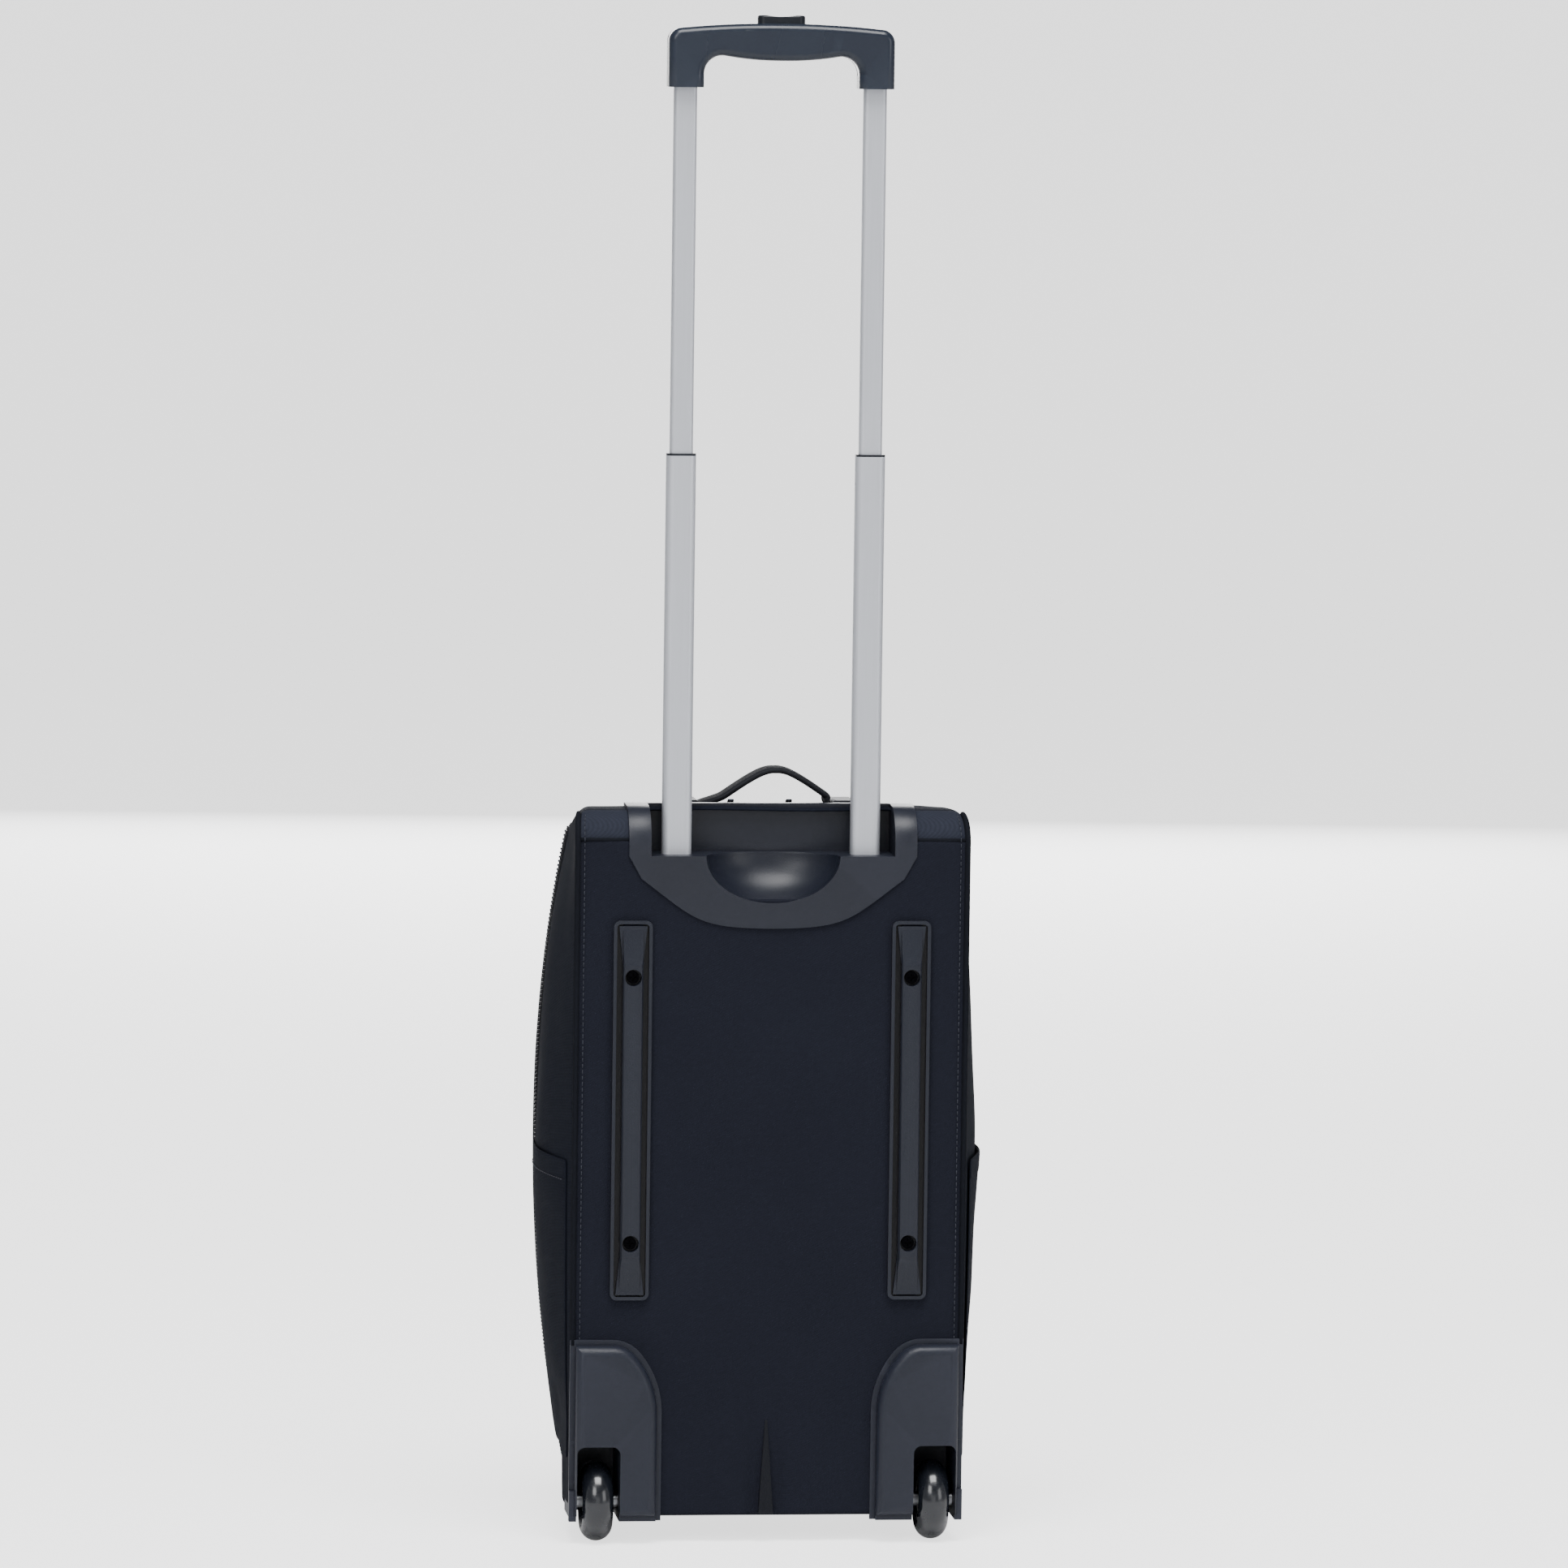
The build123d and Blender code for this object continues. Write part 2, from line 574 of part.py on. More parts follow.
BUTTON = (35.0, 14.0)
BUTTON_TOP = 1137.0
with BuildPart() as release_button:
    box_section(level(0, TUBE_DEPTH, CROSSBAR_Z[1] + 0.02), *BUTTON, 5, BUTTON_TOP - CROSSBAR_Z[1])
    box_section(level(0, TUBE_DEPTH, 1120.5), BUTTON[0] + 3.4, BUTTON[1] + 3, 5, 2)
    fillet(release_button.edges().group_by(Axis.Z)[-1], 1.6)
    with Locations((0, BACK_Y + TUBE_DEPTH, BUTTON_TOP + 58.6)):
        Sphere(60, mode=Mode.SUBTRACT)
save(release_button, "release_button")

# ---------------------------------------------------------------- grip
GRIP_HALF = 83.7
GRIP_LEG = 57.7  # inner side of a leg
GRIP_DEPTHS = (4.5, 32.5)
GRIP_WALL = 2.8
GRIP_SPLIT = 21.0
GRIP_SCREWS = ((47, 1122.5, 18.0), (71, 1092, 6.5))  # x, height and length under the head


def grip_view(inset=0.0):
    """The grip seen from behind: an arched bar with two short legs."""
    with BuildSketch(back_plane()) as sketch:
        with BuildLine():
            Line((-GRIP_HALF, GRIP_FOOT_Z), (-GRIP_HALF, 1117))
            ThreePointArc((-GRIP_HALF, 1117), (-81.3, 1124), (-74, 1127.4))
            ThreePointArc((-74, 1127.4), (-37, 1130.2), (0, 1131))
            mirror(about=Plane.YZ)
            Line((-GRIP_HALF, GRIP_FOOT_Z), (-GRIP_LEG, GRIP_FOOT_Z))
            Line((-GRIP_LEG, GRIP_FOOT_Z), (-GRIP_LEG, 1093))
            ThreePointArc((-GRIP_LEG, 1093), (-53.4, 1103.4), (-43, 1107))
            ThreePointArc((-43, 1107), (-21, 1104.2), (0, 1103.5))
            Line((GRIP_HALF, GRIP_FOOT_Z), (GRIP_LEG, GRIP_FOOT_Z))
            Line((GRIP_LEG, GRIP_FOOT_Z), (GRIP_LEG, 1093))
            ThreePointArc((GRIP_LEG, 1093), (53.4, 1103.4), (43, 1107))
            ThreePointArc((43, 1107), (21, 1104.2), (0, 1103.5))
        make_face()
        if inset:
            offset(amount=-inset, mode=Mode.REPLACE)
    return sketch.sketch


with BuildPart() as grip_hollow:
    extrude(grip_view(GRIP_WALL), amount=-(GRIP_DEPTHS[1] - GRIP_WALL))
    slab((-100, 100), (0, GRIP_DEPTHS[0] + GRIP_WALL), (1000, 1200), mode=Mode.SUBTRACT)
    slab((-100, 100), (0, 60), (1000, UPPER_TUBE_Z[1] + 1.5), mode=Mode.SUBTRACT)

with BuildPart() as grip_body:
    extrude(grip_view(), amount=-GRIP_DEPTHS[1])
    slab((-100, 100), (GRIP_DEPTHS[0] - 10, GRIP_DEPTHS[0]), (1000, 1200), mode=Mode.SUBTRACT)
    fillet(grip_body.edges().filter_by(lambda e: e.center().Z > GRIP_FOOT_Z + 1)
           .filter_by(lambda e: abs(e.bounding_box().size.Y) < 0.01), 5.5)
    add(grip_hollow.part, mode=Mode.SUBTRACT)
    for side in (-1, 1):
        socket = level(side * TUBE_X, TUBE_DEPTH, GRIP_FOOT_Z - 1)
        box_section(socket, *UPPER, UPPER_TUBE_Z[1] - GRIP_FOOT_Z + 1, mode=Mode.SUBTRACT)
        bar((side * TUBE_X, BACK_Y + TUBE_DEPTH, 1090), (side * TUBE_X, BACK_Y + TUBE_DEPTH, 1110), 3,
            mode=Mode.SUBTRACT)
        for x, z, length in GRIP_SCREWS:
            at = (side * x, BACK_Y + GRIP_DEPTHS[1], z)
            bar(at, (side * x, BACK_Y + GRIP_DEPTHS[1] - length - 0.5, z), 1.3, mode=Mode.SUBTRACT)
    box_section(level(0, TUBE_DEPTH, 1124), BUTTON[0] + 0.6, BUTTON[1] + 0.6, 5.3, 20, mode=Mode.SUBTRACT)

for name, depths in (("grip_back_shell", (0, GRIP_SPLIT)), ("grip_front_shell", (GRIP_SPLIT, 60))):
    with BuildPart() as grip_shell:
        add(grip_body.part)
        slab((-100, 100), depths, (1000, 1200), mode=Mode.INTERSECT)
    save(grip_shell, name)


# ---------------------------------------------------------------- screws
def screw(at, way, head_r, shank_r, length):
    """A pan-head cross-recess screw: `at` is under its head, `way` is where its point goes."""
    frame = Plane(origin=at, z_dir=way)
    head_h = head_r * 0.62
    with BuildPart(frame) as fastener:
        Cylinder(shank_r, length, align=(Align.CENTER, Align.CENTER, Align.MIN))
        Cylinder(head_r, head_h, align=(Align.CENTER, Align.CENTER, Align.MAX))
        with Locations((0, 0, -head_h)):
            Box(head_r * 1.15, head_r * 0.3, head_h, mode=Mode.SUBTRACT)
            Box(head_r * 0.3, head_r * 1.15, head_h, mode=Mode.SUBTRACT)
    return fastener.part


TO_FRONT = (0, 1, 0)
TO_BACK = (0, -1, 0)
with BuildPart() as grip_screws:
    for side in (-1, 1):
        for x, z, length in GRIP_SCREWS:
            add(screw((side * x, BACK_Y + GRIP_DEPTHS[1], z), TO_BACK, 2.4, 1.2, length))
save(grip_screws, "grip_screws")

# ---------------------------------------------------------------- skid rails
RAIL_HALF = 14.5
RAIL_RISE = 10.0
RAIL_CORNER = 5.0
RAMP = 33.0


def rail_outline(half, z, shift=0.0):
    """A long plate outline with gently rounded ends, seen from behind."""
    with BuildSketch(back_plane(-shift)) as sketch:
        with Locations((0, (z[0] + z[1]) / 2)):
            RectangleRounded(half * 2, z[1] - z[0], half - RAIL_HALF + RAIL_CORNER)
    return sketch.sketch


def skid_rail(side, hand):
    """A moulded rail: a flanged foot, a raised rim and a central bar that ramps at both ends."""
    low, high = RAIL_Z
    with BuildPart() as rail:
        extrude(rail_outline(RAIL_HALF, RAIL_Z), amount=4.5)
        extrude(rail_outline(RAIL_HALF - 2.6, (low + 2.6, high - 2.6), 1.8), amount=10, mode=Mode.SUBTRACT)
        with BuildSketch(Plane.YZ.offset(-7.5)) as bar_side:
            with BuildLine():
                foot_end = [(BACK_Y, low + 2), (BACK_Y - 4.5, low + 4), (BACK_Y - RAIL_RISE, low + RAMP)]
                top_end = [(BACK_Y - RAIL_RISE, high - RAMP), (BACK_Y - 4.5, high - 4), (BACK_Y, high - 2)]
                Polyline(*foot_end, *top_end, close=True)
            make_face()
        extrude(amount=15)
        for z, way in ((low, 1), (high, -1)):
            with BuildSketch(back_plane()) as flare:
                wide_end = [(-10.5, z + way * 4), (10.5, z + way * 4)]
                Polygon(*wide_end, (7.5, z + way * RAMP), (-7.5, z + way * RAMP), align=None)
            extrude(flare.sketch, amount=5.0)
        long_edges = rail.edges().filter_by(lambda e: e.center().Y < BACK_Y - 9.9)
        fillet(long_edges.filter_by(Axis.Z), 2.5)
        for z in RAIL_SCREW_Z:
            bar((0, BACK_Y - 30, z), (0, BACK_Y - 3.0, z), 6.2, mode=Mode.SUBTRACT)
            bar((0, BACK_Y - 4, z), (0, BACK_Y + 1, z), SCREW_R + 0.1, mode=Mode.SUBTRACT)
    rail.part.position = (side * RAIL_X, 0, 0)
    save(rail, f"skid_rail_{hand}")


skid_rail(-1, "left")
skid_rail(1, "right")


# ---------------------------------------------------------------- wheel housings
HOUSING_OUT = 147.5
HOUSING_INNER = 78.5
HOUSING_Z = (17.0, 153.0)
POD = 14.0
FLANGE = 2.5
WELL_X = (110.0, 142.0)
WELL_TOP = 74.0
WELL_DEPTH = 46.0
WELL_CORNER = 6.0
SWEEP_SMALL = 27.3  # the housing's swept corner is two arcs that run smoothly into each other
SWEEP_LARGE = 70.0
SWEEP_JOIN = (95.22, 143.41)


def housing_view(inset, depth):
    """The housing seen from behind: square outside, swept over to its inner side."""
    low, high = HOUSING_Z
    with BuildSketch(back_plane(depth)) as sketch:
        with BuildLine():
            Line((HOUSING_OUT, low), (HOUSING_OUT, high))
            Line((HOUSING_OUT, high), (116, high))
            RadiusArc((116, high), SWEEP_JOIN, -SWEEP_SMALL)
            RadiusArc(SWEEP_JOIN, (HOUSING_INNER, 98), -SWEEP_LARGE)
            Line((HOUSING_INNER, 98), (HOUSING_INNER, low))
            Line((HOUSING_INNER, low), (HOUSING_OUT, low))
        make_face()
        if inset:
            offset(amount=-inset, mode=Mode.REPLACE)
    return sketch.sketch


def well_form(x, depth, z, corner):
    """A wheel well's volume, with its upper corners rounded."""
    with BuildSketch(back_plane(depth[0])) as sketch:
        with Locations(((x[0] + x[1]) / 2, (z[0] + z[1]) / 2)):
            Rectangle(x[1] - x[0], z[1] - z[0])
        fillet(sketch.vertices().group_by(Axis.Z)[-1], corner)
    with BuildPart() as form:
        extrude(sketch.sketch, amount=-(depth[1] - depth[0]))
    return form.part


with BuildPart() as pod:
    extrude(housing_view(4.0, 0), amount=POD)
    fillet(pod.edges().group_by(Axis.Y)[0], 7.0)
    slab((0, 200), (-40, 40), (0, HOUSING_Z[0] + 0.01), mode=Mode.SUBTRACT)

with BuildPart() as pod_room:
    extrude(housing_view(8.0, 0), amount=POD - 3.5)
    slab((0, 200), (-40, 5), (0, WELL_TOP + 3), mode=Mode.SUBTRACT)

with BuildPart() as housing_right:
    extrude(housing_view(0, 0), amount=FLANGE)
    add(pod.part)
    slab((82.5, HOUSING_OUT), (-7, 0), (HOUSING_Z[0], 40))
    slab((107, 146), (0, WELL_DEPTH + 3), (HOUSING_Z[0], WELL_TOP + 3))
    add(pod_room.part, mode=Mode.SUBTRACT)
    slab((107, 146), (-3, 0.01), (WELL_TOP, WELL_TOP + 3))
    add(well_form(WELL_X, (-40, WELL_DEPTH), (-5, WELL_TOP), WELL_CORNER), mode=Mode.SUBTRACT)
    axle_line = (BACK_Y + WHEEL_DEPTH, WHEEL_R)
    bar((100, *axle_line), (147, *axle_line), AXLE_R, mode=Mode.SUBTRACT)
    for x, z in HOUSING_SCREWS:
        bar((x, BACK_Y, z), (x, BACK_Y - 11.5, z), 3.6)
        bar((x, BACK_Y + 1, z), (x, BACK_Y - 9.5, z), SCREW_R + 0.1, mode=Mode.SUBTRACT)
with BuildPart() as housing_left:
    add(housing_right.part.mirror(Plane.YZ))
save(housing_right, "wheel_housing_right")
save(housing_left, "wheel_housing_left")

# ---------------------------------------------------------------- wheels
TYRE_IN = 18.0
HUB_HALF = 9.5
BEARING_R = 9.5
BEARING_W = 6.0


def wheel_plane(side):
    """A plane through the wheel's centre whose x is the axle and whose y is a radius."""
    return Plane(origin=(side * WHEEL_X, BACK_Y + WHEEL_DEPTH, WHEEL_R), x_dir=(1, 0, 0), z_dir=(0, -1, 0))


def turned(plane, build_profile):
    """A solid of revolution about the axle from a profile in axle and radius."""
    with BuildSketch(plane) as profile:
        build_profile()
    with BuildPart() as solid:
        revolve(profile.sketch, axis=Axis(plane.origin, (1, 0, 0)))
    return solid.part


def tyre_profile():
    """A skate tyre: a round tread running into straight side walls."""
    half = WHEEL_WIDTH / 2
    with BuildLine() as outline:
        Line((-HUB_HALF + 0.5, TYRE_IN), (HUB_HALF - 0.5, TYRE_IN))
        Line((HUB_HALF - 0.5, TYRE_IN), (half, 21.5))
        ThreePointArc((half, 21.5), (0, WHEEL_R), (-half, 21.5))
        Line((-half, 21.5), (-HUB_HALF + 0.5, TYRE_IN))
    make_face(outline.edges())


def hub_profile():
    """The hub: a rim and a web round two bearing seats."""
    with Locations((0, (BEARING_R + TYRE_IN) / 2)):
        Rectangle(HUB_HALF * 2 - 1, TYRE_IN - BEARING_R)
    with Locations((0, 8.5)):
        Rectangle(6, 3)
    with Locations((-8.0, 14), (8.0, 14)):
        Rectangle(4, 3.4, mode=Mode.SUBTRACT)


def bearing_profile():
    """One ball bearing at each side of the hub, its seals level with the hub."""
    with Locations((-6.2, (AXLE_R + 0.05 + BEARING_R) / 2), (6.2, (AXLE_R + 0.05 + BEARING_R) / 2)):
        Rectangle(BEARING_W, BEARING_R - AXLE_R - 0.05)


for side, hand in ((-1, "left"), (1, "right")):
    for name, profile in (("tyre", tyre_profile), ("hub", hub_profile), ("bearings", bearing_profile)):
        with BuildPart() as wheel_piece:
            add(turned(wheel_plane(side), profile))
        save(wheel_piece, f"wheel_{name}_{hand}")

with BuildPart() as axles:
    for side in (-1, 1):
        at = (BACK_Y + WHEEL_DEPTH, WHEEL_R)
        bar((side * 107.2, *at), (side * 145.8, *at), AXLE_R)
        bar((side * 110.1, *at), (side * (WHEEL_X - 9.5), *at), 5.2)
        bar((side * (WHEEL_X + 9.5), *at), (side * 141.9, *at), 5.2)
save(axles, "axles")

# ---------------------------------------------------------------- feet and the centre skid
with BuildPart() as front_feet:
    for side in (-1, 1):
        with BuildSketch(level(side * 108, 144, 0)) as foot_base:
            RectangleRounded(34, 22, 6)
        with BuildSketch(level(side * 108, 143, 24)) as foot_top:
            RectangleRounded(40, 28, 8)
        loft([foot_base.sketch, foot_top.sketch])
    add(OUTER, mode=Mode.SUBTRACT)
    add(OUTER.moved(Location((0, 0, -0.02))), mode=Mode.SUBTRACT)
save(front_feet, "front_feet")

with BuildPart() as centre_skid:
    with BuildSketch(Plane.XY.offset(BODY_BOTTOM + 4)) as skid_foot:
        with Locations((0, BACK_Y - 3)):
            Rectangle(11, 6)
    with BuildSketch(Plane.XY.offset(92)) as skid_tip:
        with Locations((0, BACK_Y - 0.9)):
            Rectangle(1.6, 1.8)
    loft([skid_foot.sketch, skid_tip.sketch])
save(centre_skid, "centre_skid")

# ---------------------------------------------------------------- carry handle on the top
CARRY_DEPTH = 70.0
CARRY_HALF = 51.0
CARRY_TOP = 572.0
CARRY_THICK = 5.0
CARRY_WIDTH = 26.0
with BuildPart() as carry_handle:
    with BuildSketch(back_plane(CARRY_DEPTH - CARRY_WIDTH / 2)) as strap_arch:
        with BuildLine():
            ThreePointArc((-CARRY_HALF, 547), (0, CARRY_TOP), (CARRY_HALF, 547))
            Line((CARRY_HALF, 547), (CARRY_HALF + 14, 540))
            Line((CARRY_HALF + 14, 540), (CARRY_HALF - 6, 540))
            ThreePointArc((CARRY_HALF - 6, 540), (0, CARRY_TOP - CARRY_THICK), (-CARRY_HALF + 6, 540))
            Line((-CARRY_HALF + 6, 540), (-CARRY_HALF - 14, 540))
            Line((-CARRY_HALF - 14, 540), (-CARRY_HALF, 547))
        make_face()
    extrude(strap_arch.sketch, amount=-CARRY_WIDTH)
    add(OUTER, mode=Mode.SUBTRACT)
save(carry_handle, "carry_handle")

with BuildPart() as handle_plates:
    for side in (-1, 1):
        slab(sided(side, CARRY_HALF - 1, CARRY_HALF + 17), (CARRY_DEPTH - 17, CARRY_DEPTH + 17), (530, 551.5))
    fillet(handle_plates.edges().group_by(Axis.Z)[-1], 3)
    add(OUTER, mode=Mode.SUBTRACT)
    add(carry_handle.part, mode=Mode.SUBTRACT)
save(handle_plates, "handle_plates")

# ---------------------------------------------------------------- screws of the case
with BuildPart() as case_screws:
    for side in (-1, 1):
        for z in RAIL_SCREW_Z:
            add(screw((side * RAIL_X, BACK_Y - 3.0, z), TO_FRONT, 4.6, SCREW_R, 9.5))
        for x, z in HOUSING_SCREWS:
            add(screw((side * x, BACK_Y + BOARD[1], z), TO_BACK, 3.6, SCREW_R, 16))
save(case_screws, "case_screws")
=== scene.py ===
# %% [markdown]
# # A softside upright suitcase
#
# The suitcase has a stiff back with a telescopic handle, soft padded walls that belly out,
# and a lid on the front that zips open. The frame already holds every hard part in its real
# place and size: tubes, grip, cup, rails, wheel boxes and wheels. This lesson dresses that frame.
# Soft walls, pockets, piping, zips and webbing are modelled here, and every part gets a finish.

import json
import math

import bmesh
import bpy
from mathutils import Matrix, Vector, noise

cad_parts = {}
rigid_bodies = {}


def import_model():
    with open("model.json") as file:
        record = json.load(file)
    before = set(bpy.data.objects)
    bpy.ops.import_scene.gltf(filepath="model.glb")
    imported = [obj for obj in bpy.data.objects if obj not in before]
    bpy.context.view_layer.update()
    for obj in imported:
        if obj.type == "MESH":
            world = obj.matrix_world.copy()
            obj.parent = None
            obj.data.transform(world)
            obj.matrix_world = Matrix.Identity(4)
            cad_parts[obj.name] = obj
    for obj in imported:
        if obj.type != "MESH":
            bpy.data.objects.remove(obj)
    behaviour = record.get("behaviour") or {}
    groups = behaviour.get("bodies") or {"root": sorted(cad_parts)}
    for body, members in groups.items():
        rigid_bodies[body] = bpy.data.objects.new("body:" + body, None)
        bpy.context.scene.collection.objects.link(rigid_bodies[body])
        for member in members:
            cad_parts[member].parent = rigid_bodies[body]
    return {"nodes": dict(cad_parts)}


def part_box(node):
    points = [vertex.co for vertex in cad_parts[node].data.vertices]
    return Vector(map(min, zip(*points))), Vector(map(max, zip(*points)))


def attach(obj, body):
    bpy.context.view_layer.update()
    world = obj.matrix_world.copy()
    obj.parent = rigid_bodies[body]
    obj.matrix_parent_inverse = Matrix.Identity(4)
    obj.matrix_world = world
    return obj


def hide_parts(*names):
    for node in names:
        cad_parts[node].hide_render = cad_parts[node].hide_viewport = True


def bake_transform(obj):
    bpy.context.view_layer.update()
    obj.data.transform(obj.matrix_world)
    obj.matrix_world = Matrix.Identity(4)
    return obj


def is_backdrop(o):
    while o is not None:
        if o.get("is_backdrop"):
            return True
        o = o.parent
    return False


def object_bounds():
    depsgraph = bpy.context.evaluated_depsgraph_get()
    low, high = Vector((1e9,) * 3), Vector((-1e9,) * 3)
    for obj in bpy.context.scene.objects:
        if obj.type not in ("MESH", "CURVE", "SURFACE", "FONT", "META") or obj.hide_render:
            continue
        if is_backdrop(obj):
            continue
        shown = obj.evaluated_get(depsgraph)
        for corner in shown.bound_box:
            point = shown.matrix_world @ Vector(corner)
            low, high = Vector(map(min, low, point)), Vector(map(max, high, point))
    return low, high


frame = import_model()
cad_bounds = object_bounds()
nodes = frame["nodes"]

# %% [markdown]
# Sizes come from the frame. Depth is counted from the back panel's outer face towards the lid,
# the way a bag maker reads a pattern, so a small function turns depth into a place.

# %% Driving sizes
MM = 0.001
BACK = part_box("back_panel")[0].y
CASE_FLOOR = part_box("bottom_panel")[0].z
CASE_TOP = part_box("top_panel")[1].z
CASE_HEIGHT = CASE_TOP - CASE_FLOOR
BACK_HALF = 147.5 * MM
SEAM_FOOT = 166 * MM
SEAM_LEAN = 0.075
HOUSING_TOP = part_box("wheel_housing_right")[1].z
WELL_HALF = (107 * MM, 146.5 * MM)
WELL_DEPTH = 49.5 * MM
WELL_TOP = 77 * MM
RECESS_HALF = 94 * MM
RECESS_DEPTH = 41 * MM
RECESS_FLOOR = 512.3 * MM


def seam_depth(z):
    """Depth of the flat seam between case and lid at one height."""
    return SEAM_FOOT - (z - CASE_FLOOR) * SEAM_LEAN


def smooth(value, low, high):
    """0 below low, 1 above high, and an even S between them."""
    share = min(max((value - low) / (high - low), 0.0), 1.0)
    return share * share * (3 - 2 * share)


print("case", round(CASE_HEIGHT, 3), "m tall, seam", round(seam_depth(CASE_TOP), 3), "m deep at the top")

# %% [markdown]
# ## Writing shader maths as sums
#
# A material is a graph of nodes. Writing one Math node for every plus sign is hard to read, so a
# small class wraps a socket and adds the nodes when Python's own operators are used on it.
# Any other node comes from one method of the finish.


# %% A socket that can be added and multiplied
class Value:
    """One output of a node, usable in Python sums."""

    def __init__(self, finish, socket):
        self.finish = finish
        self.socket = socket

    def math(self, operation, first, second=0.0):
        return self.finish.node("ShaderNodeMath", {"operation": operation}, {0: first, 1: second})

    def __add__(self, other):
        return self.math("ADD", self, other)

    __radd__ = __add__

    def __mul__(self, other):
        return self.math("MULTIPLY", self, other)

    __rmul__ = __mul__

    def __sub__(self, other):
        return self.math("SUBTRACT", self, other)

    def __rsub__(self, other):
        return self.math("SUBTRACT", other, self)

    def __abs__(self):
        return self.math("ABSOLUTE", self)

    def sine(self):
        return self.math("SINE", self)


# %% A finish: one material and the way its nodes are made
class Finish:
    """A material whose nodes are made by name."""

    def __init__(self, name):
        self.material = bpy.data.materials.new(name)
        self.material.use_nodes = True
        self.tree = self.material.node_tree
        self.shader = self.tree.nodes["Principled BSDF"]

    def node(self, kind, settings=None, values=None, output=0):
        made = self.tree.nodes.new(kind)
        for key, setting in (settings or {}).items():
            if key == "stops":
                for place, colour in setting:
                    stop = made.color_ramp.elements.new(place)
                    stop.color = colour
                made.color_ramp.elements.remove(made.color_ramp.elements[0])
                made.color_ramp.elements.remove(made.color_ramp.elements[-1])
            else:
                setattr(made, key, setting)
        for key, value in (values or {}).items():
            self.feed(made.inputs[key], value)
        return Value(self, made.outputs[output])

    def feed(self, socket, value):
        if isinstance(value, Value):
            self.tree.links.new(value.socket, socket)
        else:
            socket.default_value = value

    def place(self):
        """Object coordinates, which stay with the piece and are in metres."""
        return self.node("ShaderNodeTexCoord", output="Object")

    def speckle(self, scale, detail=2.0, stretch=(1, 1, 1)):
        """A noise from 0 to 1, drawn out along an axis by a stretch."""
        laid = self.node("ShaderNodeMapping", None, {"Vector": self.place(), "Scale": stretch})
        return self.node("ShaderNodeTexNoise", None, {"Vector": laid, "Scale": scale, "Detail": detail})

    def mix(self, share, first, second):
        """A colour between two, by a share from 0 to 1."""
        settings = {"data_type": "RGBA"}
        return self.node("ShaderNodeMix", settings, {0: share, 6: first, 7: second}, output=2)

    def axes(self, vector):
        """The three numbers of a vector, each as a value."""
        split = self.node("ShaderNodeSeparateXYZ", None, {"Vector": vector})
        return [Value(self, socket) for socket in split.socket.node.outputs]

    def bump(self, height, strength, distance, normal=None):
        values = {"Height": height, "Strength": strength, "Distance": distance}
        if normal:
            values["Normal"] = normal
        return self.node("ShaderNodeBump", None, values)

    def surface(self, **values):
        """Sets the shader's sockets: Base_Color=..., Roughness=... and so on."""
        for key, value in values.items():
            self.feed(self.shader.inputs[key.replace("_", " ")], value)
        return self


def tone(red, green, blue):
    """A colour as it looks on a screen, from 0 to 255, as the linear one that shaders use."""
    shares = (c / 255 for c in (red, green, blue))
    return tuple(c / 12.92 if c < 0.04045 else ((c + 0.055) / 1.055) ** 2.4 for c in shares) + (1,)


# %% [markdown]
# ## Camera, floor and light
#
# The suitcase stands on a pale round floor that curves up into a backdrop on every side, so that
# it can be looked at from anywhere. The camera is behind it and a little to its left. A long lens
# from seven metres keeps the sides nearly parallel.

# %% Camera
AIM = Vector((0.0095, -0.08, 0.567))
CAMERA_TURN = math.radians(-6.4)
CAMERA_RISE = math.radians(5.3)
CAMERA_ROLL = math.radians(0.75)
CAMERA_AWAY = 7.0
camera_data = bpy.data.cameras.new("camera")
camera_data.lens = 216
camera_data.sensor_width = 36
camera = bpy.data.objects.new("camera", camera_data)
bpy.context.scene.collection.objects.link(camera)
away = Vector((
    math.sin(CAMERA_TURN) * math.cos(CAMERA_RISE),
    -math.cos(CAMERA_TURN) * math.cos(CAMERA_RISE),
    math.sin(CAMERA_RISE),
))
camera.location = AIM + away * CAMERA_AWAY
facing = (-away).to_track_quat("-Z", "Y").to_matrix().to_4x4()
camera.rotation_euler = (facing @ Matrix.Rotation(CAMERA_ROLL, 4, "Z")).to_euler()
bpy.context.scene.camera = camera
print("camera at", [round(c, 2) for c in camera.location])


# %% Floor and backdrop
FLOOR_REACH = 9
RIM_ROUND = 3


def studio_bowl():
    """A round floor with a curved rim all round, spun from one line."""
    made = bmesh.new()
    line = [made.verts.new((reach, 0, 0)) for reach in (0, FLOOR_REACH)]
    made.edges.new(line)
    bmesh.ops.spin(made, geom=[line[1]], cent=(FLOOR_REACH, 0, RIM_ROUND), axis=(0, -1, 0),
                   angle=math.radians(90), steps=10)
    top = max(made.verts, key=lambda v: v.co.z)
    bmesh.ops.extrude_vert_indiv(made, verts=[top])["verts"][0].co.z += 4
    bmesh.ops.spin(made, geom=made.verts[:] + made.edges[:], axis=(0, 0, 1), angle=math.radians(360),
                   steps=72, use_merge=True)
    bmesh.ops.remove_doubles(made, verts=made.verts, dist=0.001)
    for f in made.faces:
        if f.normal.dot(Vector((0, 0, 4)) - f.calc_center_median()) < 0:
            f.normal_flip()
    return made


def shown(name, made):
    """Puts a finished bmesh into the scene as an object at the origin."""
    mesh = bpy.data.meshes.new(name)
    made.to_mesh(mesh)
    made.free()
    thing = bpy.data.objects.new(name, mesh)
    bpy.context.scene.collection.objects.link(thing)
    return thing


